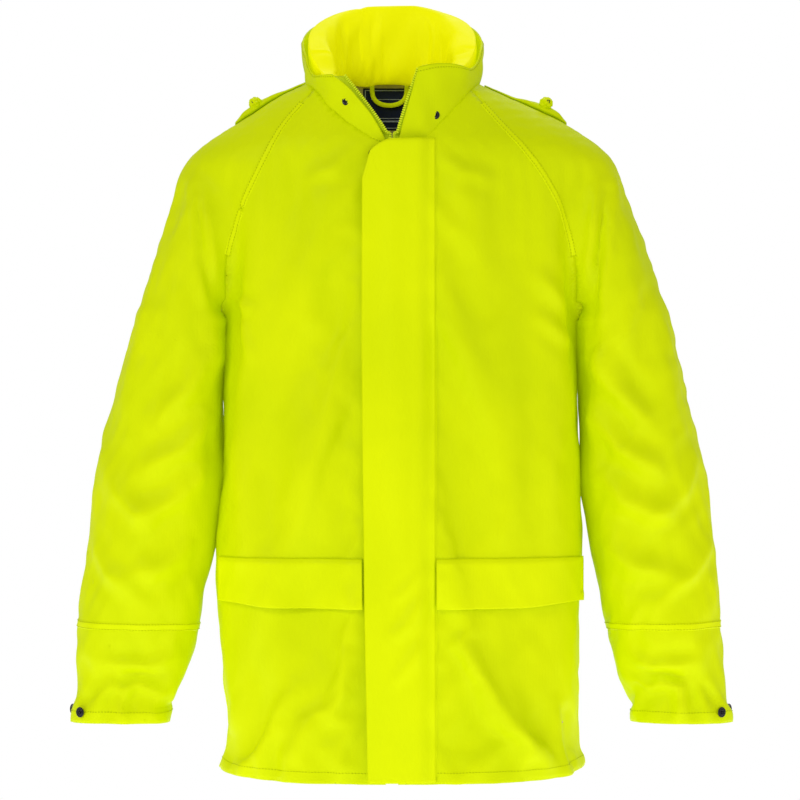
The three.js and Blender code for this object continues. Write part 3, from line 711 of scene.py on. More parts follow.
def cut_panels():
    """The skin's panels as {name: (points, triangles)}, a tree of the folded skin, and a tree of the
    unfolded skin with its triangles' corners in both shapes."""
    rest, quads = rough_skin(*(((VOXEL, 9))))
    both = np.concatenate([rest, shape_skin(rest, quads)], 1)
    triangles = halved(quads)

    def value_of(function):
        value = function(both[:, :3])
        return split_at(both, triangles, value)

    def side_of_raglan(points):
        x, y, z = points.T
        plan = np.stack([np.abs(x), z], 1)
        f, b = to_path(plan, raglan(True))[0], to_path(plan, raglan(False))[0]
        share = smoothstep((y - MIDDLE_Y + 18) / 36)
        value = f * (1 - share) + b * share
        return np.where(z < -ARMPIT_DROP + 1, np.where(np.abs(x) > CHEST + 2.4, 9.0, -9.0), value)

    keep = value_of(neck_outside), value_of(hem_side), value_of(
        lambda p: np.where(np.abs(p[:, 0]) > CHEST + 2.4, p[:, 2] + SLEEVE_DROP, 9))
    arm = value_of(side_of_raglan)
    zipper = value_of(lambda p: np.where(p[:, 1] < MIDDLE_Y, np.abs(p[:, 0] - ZIP_X) - 7, 30))
    forearm = value_of(lambda p: np.where(np.abs(p[:, 0]) > CHEST + 2.4, p[:, 2] - FOREARM_Z, 9))
    side = value_of(lambda p: p[:, 1] - MIDDLE_Y)
    centre = both[triangles].mean(1)

    def mean(value):
        return value[triangles].mean(1)

    alive = (mean(keep[0]) > 0) & (mean(keep[2]) > 0)
    is_arm = mean(arm) > 0
    alive &= is_arm | (mean(keep[1]) > 0)
    left = centre[:, 0] > 0
    groups = {
        "back_cloth": ~is_arm & (mean(side) > 0),
        "front_cloth_left": ~is_arm & (mean(side) <= 0) & (centre[:, 0] > ZIP_X) & (mean(zipper) > 0),
        "front_cloth_right": ~is_arm & (mean(side) <= 0) & (centre[:, 0] < ZIP_X) & (mean(zipper) > 0),
    }
    for name, own in (("left", left), ("right", ~left)):
        groups[f"raglan_cloth_{name}"] = is_arm & own & (mean(forearm) > 0)
        groups[f"forearm_cloth_{name}"] = is_arm & own & (mean(forearm) <= 0)
    points = both[:, 3:]
    panels = {name: pick(points, triangles, chosen & alive) for name, chosen in groups.items()}
    kept = triangles[alive]
    tree = BVHTree.FromPolygons(points.tolist(), kept.tolist())
    rest = BVHTree.FromPolygons(both[:, :3].tolist(), kept.tolist())
    return panels, tree, (rest, both[kept])


PANELS, SKIN, (REST, CORNERS) = cut_panels()


def carried(path):
    """Points of the unfolded skin nearest a path, where its folds carry them."""
    points = []
    for point in path:
        place, _, index, _ = REST.find_nearest(Vector(point))
        rest, folded = CORNERS[index, :, :3], CORNERS[index, :, 3:]
        edges = np.stack([rest[1] - rest[0], rest[2] - rest[0]], 1)
        share = np.linalg.lstsq(edges, np.array(place) - rest[0], rcond=None)[0]
        points.append(folded[0] + share[0] * (folded[1] - folded[0]) + share[1] * (folded[2] - folded[0]))
    return np.array(points)


def ray(x, z, towards=1, start=-600, tree=None):
    """The skin's point and normal that a ray along Y meets first at x and z.
    Towards 1 it meets the front, and towards -1 the back."""
    hit = (tree or SKIN).ray_cast(Vector((x, start * towards, z)), Vector((0, towards, 0)))
    if hit[0] is None:
        return None
    return np.array(hit[0]), np.array(hit[1])


def front_y(x, z):
    """Y of the front skin at x and z, or the plain oval's where the skin is open."""
    hit = ray(x, z)
    if hit and hit[0][1] < MIDDLE_Y:
        return hit[0][1]
    drop = -z
    share = min(1.0, abs(x) / float(torso_half_width(drop)))
    return MIDDLE_Y - float(front_depth(drop)) * (1 - share ** 2.4) ** (1 / 2.4)


def plain_front_y(x, z):
    """The same without the folds."""
    share = np.minimum(np.abs(x) / torso_half_width(-z), 0.9999)
    return MIDDLE_Y - front_depth(-z) * (1 - share ** 2.4) ** (1 / 2.4)


def bend_to_sleeve(piece, name):
    """Bakes the piece's transform into its mesh. The sleeve's name is not used."""
    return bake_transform(piece)


def add_panels():
    cuts = {  # name: (flat size and area of the pattern piece, CAD nodes it stands for)
        "back_cloth": ((0.62, 0.83), 0.37, ["back_panel"]),
        "front_cloth_left": ((0.34, 0.76), 0.178, ["front_panel_left"]),
        "front_cloth_right": ((0.32, 0.76), 0.165, ["front_panel_right"]),
        "raglan_cloth_left": ((0.50, 0.68), 0.25, ["shoulder_left", "sleeve_upper_left"]),
        "raglan_cloth_right": ((0.50, 0.68), 0.25, ["shoulder_right", "sleeve_upper_right"]),
        "forearm_cloth_left": ((0.36, 0.14), 0.046, ["sleeve_lower_left"]),
        "forearm_cloth_right": ((0.36, 0.14), 0.046, ["sleeve_lower_right"]),
    }
    for name, (points, triangles) in PANELS.items():
        # Each panel's inner side takes the lining colour, which carries painted shade.
        piece = thicken(mesh_object(name, points, triangles, YELLOW, LINING_WITH_PAINTED_SHADE), 1.6)
        flat, area, nodes = cuts[name]
        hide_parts(*nodes)
        side = name.rsplit("_", 1)[-1]
        if name.startswith("raglan"):
            bend_to_sleeve(piece, side)
        else:
            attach(piece, f"sleeve_{side}" if name.startswith("forearm") else "jacket_body")


# ---- things laid on the skin ----

def nearest(point):
    place, normal, _, _ = SKIN.find_nearest(Vector(point))
    return np.array(place), np.array(normal)


def on_skin(path, lift=0.0):
    """The nearest points of the skin to a path, and the normals there."""
    hits = [nearest(p) for p in path]
    points, normals = np.array([h[0] for h in hits]), np.array([h[1] for h in hits])
    arm = (np.abs(points[:, 0]) > CHEST + 2.4) & (points[:, 2] < -ARMPIT_DROP - 10)
    sleeve_middle = np.interp(-points[:, 2], [ARMPIT_DROP, SLEEVE_DROP], [262, 325])
    middle = np.where(arm, np.sign(points[:, 0]) * sleeve_middle, 0)
    outward = points - np.stack([middle, np.full(len(points), MIDDLE_Y), points[:, 2]], 1)
    flip = (normals * outward).sum(1) < -0.3 * np.linalg.norm(outward, axis=1)
    normals[flip] *= -1
    return points + normals * lift, normals


def resample(path, step):
    path = np.asarray(path, float)
    lengths = np.concatenate([[0], np.cumsum(np.linalg.norm(np.diff(path, axis=0), axis=1))])
    places = np.linspace(0, lengths[-1], max(2, int(lengths[-1] / step) + 1))
    return np.stack([np.interp(places, lengths, path[:, k]) for k in range(path.shape[1])], 1)


def tangents(path):
    way = np.gradient(path, axis=0)
    return way / np.maximum(np.linalg.norm(way, axis=1, keepdims=True), 1e-9)


BAND_PROFILE = [(-1, -0.5), (-0.86, 0.75), (-0.45, 1), (0, 0.9), (0.45, 1), (0.86, 0.75), (1, -0.5)]


def ribbon(path, width, height, project=True, normals=None):
    """A raised band along a path over the skin: its points and faces."""
    if project:
        path, normals = on_skin(path)
    across = np.cross(tangents(path), normals)
    across /= np.maximum(np.linalg.norm(across, axis=1, keepdims=True), 1e-9)
    columns = []
    for share, lift in BAND_PROFILE:
        edge = path + across * share * width / 2
        if project:
            base, turn = on_skin(edge)
            columns.append(base + turn * (lift * height if lift > 0 else lift))
        else:
            columns.append(edge + normals * (lift * height if lift > 0 else lift))
    points = np.stack(columns, 1).reshape(-1, 3)
    return points, grid_faces(len(path), len(columns))


def stitch_run(path, normals, pitch=3.6, length=2.5, radius=0.42):
    """A row of stitches along a path: points and faces of one spindle each."""
    steps = resample(np.concatenate([path, normals], 1), pitch)
    path, normals = steps[:, :3], steps[:, 3:]
    ways = tangents(path)
    points, faces = [], []
    for place, way, up in zip(path, ways, normals):
        side = np.cross(way, up)
        ring = [up * radius * 1.2, side * radius, -up * radius * 0.6, -side * radius]
        base = len(points)
        points.append(place - way * length / 2)
        points += [place - way * length * 0.3 + r for r in ring]
        points += [place + way * length * 0.3 + r for r in ring]
        points.append(place + way * length / 2)
        for k in range(4):
            m = (k + 1) % 4
            faces += [(base, base + 1 + m, base + 1 + k), (base + 9, base + 5 + k, base + 5 + m),
                      (base + 1 + k, base + 1 + m, base + 5 + m, base + 5 + k)]
    return np.array(points), faces


def sewn(path, offset=0.0, lift=0.9, **sizes):
    """Stitches beside a path over the skin."""
    base, normals = on_skin(path)
    across = np.cross(tangents(base), normals)
    base, normals = on_skin(base + across * offset, lift)
    return stitch_run(base, normals, **sizes)


def skin_curve(plan, front):
    """A curve in X and Z dropped on to the front or the back of the skin."""
    points = []
    for x, z in resample(plan, 4):
        hit = ray(x, z, 1 if front else -1, tree=REST)
        if hit:
            points.append(hit[0])
    return carried(points)


def mirror_plan(plan, side):
    return np.asarray(plan, float) * np.array([side, 1])


def sleeve_loop(z, side, count=90):
    """A level loop round a sleeve."""
    low, high = 0.0, 1.0
    for _ in range(30):
        share = (low + high) / 2
        if sleeve_rib(share)[:, 2].mean() > z:
            low = share
        else:
            high = share
    ring = sleeve_rib(share, count)
    ring[:, 2] = z
    ring[:, 0] *= side
    base, normals = on_skin(carried(ring))
    return np.concatenate([base, base[:1]]), np.concatenate([normals, normals[:1]])


def add_seams():
    bands, threads = [], []
    for side in (1, -1):
        for front in (True, False):
            plan = mirror_plan(raglan(front)[1:-1], side)
            curve = skin_curve(plan, front)
            curve = curve[curve[:, 2] > -204]
            bands.append((*ribbon(curve, 8.5, 0.7), 0))
            for offset in (-2.6, 2.6):
                threads.append((*sewn(curve, offset, 1.1), 0))
        flank = np.array([[side * 213, MIDDLE_Y, z] for z in np.arange(-290, -HEM + 10, -5)])
        bands.append((*ribbon(carried(flank), 6, 0.7), 0))
    ring = torso_ring(HEM, 260)
    ring[:, 2] = -HEM + HEM_STITCH_RISE + 9 * (np.abs(ring[:, 0]) / CHEST) ** 6
    loop, normals = on_skin(carried(np.concatenate([ring, ring[:1]])))
    threads.append((*stitch_run(loop + normals * 0.2, normals), 0))
    band = join_meshes("felled_seams", bands, TRIM)
    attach(band, "jacket_body")
    for name, side in (("left", 1), ("right", -1)):
        rows, ridges = [], []
        for z, lift in ((FOREARM_Z + 3.2, 0.9), (FOREARM_Z - 3.2, 0.9), (-SLEEVE_DROP + 13, 0.3)):
            loop, normals = sleeve_loop(z, side)
            rows.append((*stitch_run(loop + normals * lift, normals), 0))
        loop, normals = sleeve_loop(FOREARM_Z, side)
        ridges.append((*ribbon(loop, 9.5, 0.9), 0))
        piece = join_meshes(f"forearm_seam_{name}", ridges, TRIM)
        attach(piece, f"sleeve_{name}")
        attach(join_meshes(f"sleeve_stitching_{name}", rows, THREAD), f"sleeve_{name}")
        add_cuff_hem(name, side)
    return threads


def add_cuff_hem(name, side):
    rows = []
    for z in np.linspace(-SLEEVE_DROP + 26, -SLEEVE_DROP + 0.5, 8):
        loop, normals = sleeve_loop(z, side, 130)
        rows.append(loop[:-1] - normals[:-1] * 3.2)
    faces = grid_faces(len(rows), len(rows[0]), closed=True)
    piece = mesh_object(f"cuff_hem_{name}", np.concatenate(rows), faces, LINING_WITH_PAINTED_SHADE)
    thicken(piece, 1.0, False)
    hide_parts(f"cuff_turn_up_{name}")
    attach(piece, f"sleeve_{name}")


# ---- collar and hood ----

def neck_ring(turn, z, inset=0.0):
    """A point of the neck's column, inset inwards from the collar's outside."""
    share = np.clip((z + 60) / 105, 0, 1)
    across, along = signed_power(np.cos(turn), 2 / 2.4), signed_power(np.sin(turn), 2 / 2.4)
    depth = np.where(along < 0, 100 + share, 90 + 4 * share) - inset
    return np.stack([(93 + 12 * share - inset) * across, MIDDLE_Y + depth * along, z + 0 * turn], -1)


def neck_seam(turn):
    """Height of the seam between collar and body."""
    low, high = np.full(turn.shape, -92.0), np.full(turn.shape, 12.0)
    for _ in range(30):
        z = (low + high) / 2
        p = neck_ring(turn, z)
        drop = -z
        depth = np.where(p[..., 1] < MIDDLE_Y, front_depth(drop), back_depth(drop))
        ring = (np.abs(p[..., 0]) / torso_half_width(drop)) ** 2.4
        ring = ring + (np.abs(p[..., 1] - MIDDLE_Y) / depth) ** 2.4
        inside = ring < 1
        low = np.where(inside, z, low)
        high = np.where(inside, high, z)
    return (low + high) / 2


def collar_top(turn):
    y = neck_ring(turn, np.full(np.shape(turn), 20.0))[..., 1]
    x = np.cos(turn)
    leaf = np.where(x > 0, 9.0 + 5 * np.sin(np.pi * np.clip((x - 0.15) / 0.75, 0, 1)), 2.0)
    plane = COLLAR_HIGH[2] - 5 + 0.5 * np.minimum(y, 0)
    rise = smoothstep((y + np.where(x > 0, 165, 150)) / np.where(x > 0, 62, 34))
    return leaf * (1 - rise) + plane * rise


# The open zip's two edges, on the wearer's right and left: x and z at the foot and the top.
V_LEFT = (ZIP_X - 7, -66, ZIP_X - 57, 2.0)
V_RIGHT = (ZIP_X + 7, -66, ZIP_X + 31, 9.0)


def v_edge(edge, z):
    x0, z0, x1, z1 = edge
    share = np.clip((z - z0) / (z1 - z0), -0.2, 1.2)
    return np.where(share < 0, x0, x0 + (x1 - x0) * (0.25 * share + 0.75 * np.maximum(share, 0) ** 1.15))


def turn_of(x, z):
    """Where on the front of the neck's column an x lies."""
    share = np.clip((z + 60) / 105, 0, 1)
    flat = signed_power(x / (93 + 12 * share), 1.2)
    return -np.arccos(np.clip(flat, -1, 1))


def lean(points, amount=None):
    moved = np.array(points, float)
    share = lean_share(moved.reshape(-1, 3)).reshape(moved.shape[:-1]) if amount is None else amount
    moved[..., 0] += COLLAR_LEAN * share
    return moved


def collar_surface(rows, columns, inset=0.0, foot_drop=8.0):
    height = np.linspace(0, 1, rows)[:, None]
    start_z, end_z = -72 + (V_RIGHT[3] + 72) * height, -72 + (V_LEFT[3] + 72) * height
    start = turn_of(v_edge(V_RIGHT, start_z), start_z)
    end = turn_of(v_edge(V_LEFT, end_z), end_z) + 2 * np.pi
    turn = start + (end - start) * np.linspace(0, 1, columns)[None, :]
    foot, top = neck_seam(turn) - foot_drop, collar_top(turn)
    z = foot + (top - foot) * height
    points = neck_ring(turn, z, inset)
    out = points - np.stack([0 * z, MIDDLE_Y + 0 * z, z], -1)
    out /= np.linalg.norm(out, axis=-1, keepdims=True)
    waves = drift(points.reshape(-1, 3), 21, 12, (30, 80), (60, 160)).reshape(turn.shape)
    belly = np.sin(np.pi * height) * (2.0 + 1.5 * np.sin(3 * turn + 1))
    belly = belly + 1.2 * waves * np.sin(np.pi * height) ** 0.6
    edge_roll = 4.0 * smoothstep((height - 0.55) / 0.45) * smoothstep((np.sin(-turn) - 0.35) / 0.4)
    return lean(points + out * (belly + edge_roll)[..., None])


def add_collar():
    rows, columns = 34, 300
    points = collar_surface(rows, columns)
    faces = grid_faces(rows, columns)
    collar = thicken(mesh_object("collar_cloth", points.reshape(-1, 3), faces, YELLOW, TRIM), 2.6)
    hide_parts("collar")
    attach(collar, "jacket_body")
    threads = []
    for row in (2, rows - 3):
        path = resample(points[row], 3.6)
        out = path - np.array([COLLAR_LEAN, MIDDLE_Y, 0])
        out[:, 2] = 0
        out /= np.linalg.norm(out, axis=1, keepdims=True)
        threads.append((*stitch_run(path + out * 0.2, out), 0))
    return BVHTree.FromPolygons(points.reshape(-1, 3).tolist(), faces), threads


HOOD_TUCKS = [(1.16, 7, 0.05), (-0.11, 7, 0.06), (0.78, 3, 0.07)]  # (place, depth, half width), in half turns


def add_hood():
    """The hood, rolled inside the collar: a fat, gathered roll that hangs over the collar's top edge."""
    around, ring = 230, 40
    share = np.linspace(0, 1, around)
    turn = (-0.235 + share * 1.47) * np.pi
    phase = np.arange(ring) * 2 * np.pi / ring
    end = smoothstep(np.minimum(share, 1 - share) / 0.075)
    top = collar_top(turn) + 6.0 * end
    bottom = 3.0 + 4 * (1 - end) + 1.6 * np.sin(9 * turn) * end
    middle, half = (top + bottom) / 2, (top - bottom) / 2 * (0.45 + 0.55 * end)
    fat = 15.0 * (0.35 + 0.65 * end) + 1.2 * np.sin(5 * turn + 0.6)
    across, up = signed_power(np.cos(phase), 0.72), signed_power(np.sin(phase), 0.62)
    points = np.zeros((around, ring, 3))
    for k in range(ring):
        over_edge = 11.0 * max(0.0, across[k]) * float(smoothstep((up[k] - 0.84) / 0.12)) * end
        inset = 9.0 + fat - fat * across[k] - over_edge
        z = middle + half * up[k]
        base = neck_ring(turn, z, 0)
        inward = base - np.array([0, MIDDLE_Y, 0])
        inward[:, 2] = 0
        inward /= np.linalg.norm(inward, axis=1, keepdims=True)
        inner = np.maximum(0, -across[k])
        pleats = 1.7 * np.sin(23 * turn + 2 * np.sin(7 * turn)) * smoothstep((0.2 - up[k]) / 1.2)
        tuck = inner * (pleats + 1.3 * np.sin(11 * turn + 3 * up[k]))
        for place, depth, width in HOOD_TUCKS:
            along = np.exp(-(((turn / np.pi - place) / width) ** 2))
            tuck = tuck - depth * inner * along * np.exp(-(((up[k] + 0.1) / 0.5) ** 2))
        points[:, k] = base - inward * (inset + tuck)[:, None]
        points[:, k, 2] = z
    points = lean(points)
    faces = grid_faces(around, ring, closed=True, flip=True)
    faces += [tuple(range(ring)), tuple((around - 1) * ring + i for i in range(ring))[::-1]]
    # The roll's brighter, glowing fabric is painted light.
    hood = mesh_object("hood_roll_cloth", points.reshape(-1, 3), faces, HOOD_FABRIC_PAINTED_GLOW)
    puff(hood, 3.5)
    sub = hood.modifiers.new("smooth", "SUBSURF")
    sub.levels = sub.render_levels = 1
    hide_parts("hood_roll", "collar_facing")
    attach(hood, "jacket_body")


def puff(piece, cap):
    """Blows up a padded piece as cloth under pressure, no point moving more than cap millimetres."""
    rest = np.array([v.co for v in piece.data.vertices]) * 1000
    cloth = piece.modifiers.new("cloth", "CLOTH")
    settings = cloth.settings
    settings.quality, settings.mass = 5, 0.2
    settings.use_pressure, settings.uniform_pressure_force = True, 3.0
    settings.tension_stiffness = settings.compression_stiffness = 12
    settings.bending_stiffness = 0.4
    settings.shrink_min = -0.06
    settings.effector_weights.gravity = 0
    cloth.collision_settings.use_collision = False
    cloth.collision_settings.use_self_collision = False
    scene = bpy.context.scene
    for step in range(1, 17):
        scene.frame_set(step)
    points, _ = evaluated(piece)
    piece.modifiers.remove(cloth)
    scene.frame_set(1)
    move = points - rest
    size = np.linalg.norm(move, axis=1, keepdims=True)
    moved = rest + move * np.minimum(1, cap / np.maximum(size, 1e-6))
    piece.data.vertices.foreach_set("co", (moved / 1000).ravel())
    piece.data.update()


def back_y(x, z, inset=0.0):
    """Y of the plain back at x and z, inset inwards."""
    depth, width = back_depth(-z) - inset, torso_half_width(np.maximum(-z, 20)) - inset
    return MIDDLE_Y + depth * (1 - np.minimum(np.abs(x) / width, 0.999) ** 2.4) ** (1 / 2.4)


def patch(x_low, x_high, z_low, z_high, inset, columns=40, rows=24, centre=0.0):
    """A piece of cloth inside the back of the neck."""
    x = np.linspace(x_low, x_high, columns)[None, :] + np.zeros((rows, 1))
    z = np.linspace(z_high, z_low, rows)[:, None] + np.zeros((1, columns))
    column = MIDDLE_Y + (90 - inset) * (1 - np.minimum(np.abs(x) / 93, 0.98) ** 2.4) ** (1 / 2.4)
    y = np.minimum(column, back_y(x, z, inset))
    y = y - 0.5 * np.sin(x / 9.0) * np.sin(z / 13.0)
    return np.stack([x + centre, y, z], -1).reshape(-1, 3), grid_faces(rows, columns)


LABEL_LINES = [  # x and z, lowest and highest
    (-29, 29, -4.2, -3.2), (-29, 29, -48.6, -47.6), (-29, -28, -48.6, -3.2), (28, 29, -48.6, -3.2),
    (-22, 22, -14.5, -13.9), (-22, 22, -41, -39.2), (-16, 16, -37, -36.2)]


def add_neck_inside():
    ground = patch(-82, 82, -82, 6, 4.6, 60, 36, COLLAR_LEAN)
    # The neck facing takes the lining colour with its painted shade.
    facing = thicken(mesh_object("neck_facing_cloth", *ground, LINING_WITH_PAINTED_SHADE), 0.9, False)
    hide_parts("neck_facing")
    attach(facing, "jacket_body")
    centre = COLLAR_LEAN - 3.5
    ground, faces = patch(-31, 31, -50, -1, 6.4, 48, 40, centre)
    parts = [(ground, faces, 0)]
    edge = []
    for corners in LABEL_LINES:
        edge.append((*patch(*corners, 7.3, 24, 5, centre), 1))
    label = thicken(join_meshes("neck_label_cloth", parts + edge, NAVY, SILVER), 0.7, False)
    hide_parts("neck_label")
    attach(label, "jacket_body")
    t = np.linspace(0, 1, 60)
    turn = np.pi * t
    x = -20.5 * np.cos(turn) * (1 + 0.02 * np.sin(turn))
    z = 3.5 - 25 * np.sin(turn) ** 0.55
    path = np.stack([x + centre, -8.6 - 2.5 * np.sin(turn) + 0 * x, z], 1)
    loop = tube("hanging_loop_cord", path, 2.7, 1.9, TRIM)
    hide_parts("hanging_loop")
    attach(loop, "loop_body")


def tube(name, path, wide, thick, material, sides=14):
    """A flattened tube along a path, broad side to the front."""
    way = tangents(path)
    front = np.array([0, -1.0, 0])
    side = np.cross(way, front)
    side /= np.maximum(np.linalg.norm(side, axis=1, keepdims=True), 1e-9)
    up = np.cross(side, way)
    turn = np.arange(sides) * 2 * np.pi / sides
    rings = (path[:, None] + side[:, None] * (wide * signed_power(np.cos(turn), 0.8))[None, :, None]
             + up[:, None] * (thick * signed_power(np.sin(turn), 0.8))[None, :, None])
    faces = grid_faces(len(path), sides, closed=True)
    faces += [tuple(range(sides))[::-1], tuple((len(path) - 1) * sides + i for i in range(sides))]
    return mesh_object(name, rings.reshape(-1, 3), faces, material)


# ---- zip ----

def zip_line(side):
    """One tooth row's path and the way it faces, from the open top of the V to the bottom box."""
    edge = V_RIGHT if side > 0 else V_LEFT
    heights = np.concatenate([np.arange(edge[3] - 2, -66, -1.0), np.arange(-66, FLAP_LOW[2] + 14, -2.0)])
    points = []
    for z in heights:
        if z > -66:
            x = float(v_edge(edge, z)) + side * -1.2
            turn = turn_of(np.array(x), np.array(z))
            p = neck_ring(turn, np.array(z), 1.0)
            roll = 4.0 * smoothstep((z + 66) / 70 - 0.5)
            points.append([p[0], p[1] - roll, z])
        else:
            points.append([ZIP_X + side * 2.2, float(plain_front_y(ZIP_X, z)) + 1.6, z])
    return np.array(points)


def add_zip():
    for name, side in (("left", 1), ("right", -1)):
        path = resample(zip_line(side), 2.6)
        way = tangents(path)
        points, faces = [], []
        block = np.array([[a, b, c] for a in (-1, 1) for b in (-1, 1) for c in (-1, 1)], float)
        order = [(0, 1, 3, 2), (4, 6, 7, 5), (0, 4, 5, 1), (2, 3, 7, 6), (0, 2, 6, 4), (1, 5, 7, 3)]
        for place, along in zip(path, way):
            across = np.cross(along, [0, -1, 0])
            across /= np.linalg.norm(across)
            out = np.cross(across, along)
            base = len(points)
            points += [place + along * a * 0.75 + across * b * 1.7 + out * c * 1.3 for a, b, c in block]
            faces += [tuple(base + i for i in f) for f in order]
        teeth = mesh_object(f"zip_teeth_row_{name}", points, faces, TEETH, smooth=False)
        bevel = teeth.modifiers.new("bevel", "BEVEL")
        bevel.width, bevel.segments = 0.0004, 1
        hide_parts(f"zip_teeth_{name}")
        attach(teeth, "jacket_body")
        path = resample(zip_line(side), 5)
        tape = np.stack([path + np.array([side * (k - 1), 1.4 + 0.12 * k, 0]) for k in (0, 5, 10, 14)], 1)
        strip = mesh_object(f"zip_tape_cloth_{name}", tape.reshape(-1, 3), grid_faces(len(path), 4), TAPE)
        thicken(strip, 0.8, False)
        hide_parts(f"zip_tape_{name}")
        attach(strip, "jacket_body")


# ---- storm flap and pockets ----

def flap_edge(z):
    """X of the storm flap's free edge."""
    top = FLAP_HIGH[2]
    return np.interp(-z, [-top, -top + 18, -top + 40, 300, 600, HEM], [-35, -39, -44, -44.5, -41, -37])


FLAP_SEW = 33.0
FLAP_FOLDS = [
    ([(26, -590), (8, -622), (-12, -640)], 9, 2.2),
    ([(28, -640), (8, -668), (-8, -690)], 9, 1.8),
    ([(24, -560), (4, -586), (-8, -596)], 7, 1.2),
    ([(-6, -100), (-10, -240), (-6, -380)], 12, 1.0),
    ([(4, -390), (-4, -470), (4, -560)], 12, 1.2),
]


def flap_point(x, z):
    y = plain_front_y(np.array(x), np.array(z))
    free = smoothstep((FLAP_SEW - x) / 15)
    off = 1.8 + 6.4 * free
    across = (FLAP_SEW - x) / (FLAP_SEW + 44)
    off = off + (1.3 * np.sin(z / 61 + 1) + 1.0 * np.sin(z / 37)) * smoothstep(across * 1.6) * 0.8
    plan = np.stack([np.ravel(x), np.ravel(z)], 1)
    return y - off - fold_height(plan, FLAP_FOLDS).reshape(np.shape(y))


def add_storm_flap():
    rows, columns = 260, 34
    z = np.linspace(FLAP_HIGH[2], FLAP_LOW[2] - 2.0, rows)[:, None] + np.zeros((1, columns))
    share = np.linspace(0, 1, columns)[None, :]
    x = flap_edge(z) + (FLAP_SEW + 6 - flap_edge(z)) * share
    corner = np.clip(1 - share / 0.35, 0, 1) ** 2
    top = np.clip(1 - (FLAP_HIGH[2] - z) / 40, 0, 1)
    z = z + (4.5 - 13 * corner + 1.5 * share) * top
    y = flap_point(x, z)
    cloth = np.array([front_y(FLAP_SEW + 6, at) for at in z[:, -1]])
    for _ in range(4):
        cloth[1:-1] = (cloth[:-2] + cloth[1:-1] + cloth[2:]) / 3
    y += (cloth - 0.3 - y[:, -1])[:, None] * smoothstep((x - FLAP_SEW + 12) / 18)
    points = np.stack([x, y, z], -1).reshape(-1, 3)
    flap = thicken(mesh_object("storm_flap_cloth", points, grid_faces(rows, columns), YELLOW, TRIM), 2.4)
    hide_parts("storm_flap", "storm_flap_facing")
    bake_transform(flap)
    rows_of = []
    zs = np.arange(FLAP_HIGH[2] - 14, FLAP_LOW[2] + 8, -3.6)
    xs = flap_edge(zs) + 5.5
    rows_of.append(np.stack([xs, flap_point(xs, zs) - 0.2, zs], 1))
    zs = np.arange(FLAP_HIGH[2] - 2, FLAP_LOW[2] + 3, -3.6)
    xs = np.interp(-zs, [80, 180, HEM], [21.5, 23.5, 25.0])
    rows_of.append(np.stack([xs, flap_point(xs, zs) - 0.2, zs], 1))
    out = np.array([0.08, -1.0, 0.05])
    parts = [(*stitch_run(r, np.tile(out / np.linalg.norm(out), (len(r), 1))), 0) for r in rows_of]
    threads = join_meshes("storm_flap_stitching", parts, THREAD)
    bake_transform(threads)
    zs = np.arange(FLAP_HIGH[2] + 6, FLAP_LOW[2] + 4, -5.0)
    path = np.array([[FLAP_SEW + 5, front_y(FLAP_SEW + 5, at), at] for at in zs])
    strip = mesh_object("flap_seam_band", *ribbon(path, 7, 0.6), TRIM)
    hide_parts("flap_seam_strip")
    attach(strip, "jacket_body")


def pocket_surface(side, x_inner, x_outer, z_top, z_low, columns=90, rows=30):
    """A flap of cloth over the front, proud of it by a little more towards its foot."""
    share = np.linspace(0, 1, columns)[None, :]
    fall = np.linspace(0, 1, rows)[:, None]
    x = side * (x_inner + (x_outer - x_inner) * share) + 0 * fall
    foot = z_low + 6 * smoothstep((share - 0.55) / 0.45)
    z = z_top + (foot - z_top) * fall
    y = np.array([[front_y(a, b) for a, b in zip(r, s)] for r, s in zip(x, z)])
    smooth = y.copy()
    for _ in range(14):
        padded = np.pad(smooth, 1, mode="edge")
        smooth = (padded[:-2, 1:-1] + padded[2:, 1:-1] + padded[1:-1, :-2] + padded[1:-1, 2:]) / 4
    y = np.minimum(smooth, y)
    wave = 1.2 * np.sin(x / 23 + 2) * fall + 0.6 * np.sin(x / 11) * fall
    y = y + 0.6 - 3.0 * smoothstep(fall / 0.09) - 2.2 * fall ** 1.5 - wave
    return np.stack([x, y, z], -1)


def add_pockets():
    z_top, z_low = POCKET_HIGH[2], POCKET_LOW[2]
    for name, side, inner in (("left", 1, 40.0), ("right", -1, 43.5)):
        surface = pocket_surface(side, inner, 209.0, z_top, z_low)
        rows, columns, _ = surface.shape
        faces = grid_faces(rows, columns, flip=side < 0)
        flap = mesh_object(f"pocket_flap_cloth_{name}", surface.reshape(-1, 3), faces, YELLOW, TRIM)
        thicken(flap, 2.0)
        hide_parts(f"pocket_flap_{name}")
        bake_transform(flap)
        out = np.cross(surface[1, 1:] - surface[0, 1:], surface[0, 1:] - surface[0, :-1])
        out /= np.linalg.norm(out, axis=1, keepdims=True)
        out *= np.sign(-out[:, 1:2])
        parts = []
        for row in (1, 4, rows - 4):
            parts.append((*stitch_run(surface[row, 1:] + out * 0.45, out, radius=0.55), 0))
        for column in (3, columns - 4):
            path = surface[2:-3, column]
            normals = np.tile(out[column - 1], (len(path), 1))
            parts.append((*stitch_run(path + normals * 0.25, normals), 0))
        threads = join_meshes(f"pocket_flap_stitching_{name}", parts, THREAD)
        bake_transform(threads)
        add_pocket_mouth(name, side)


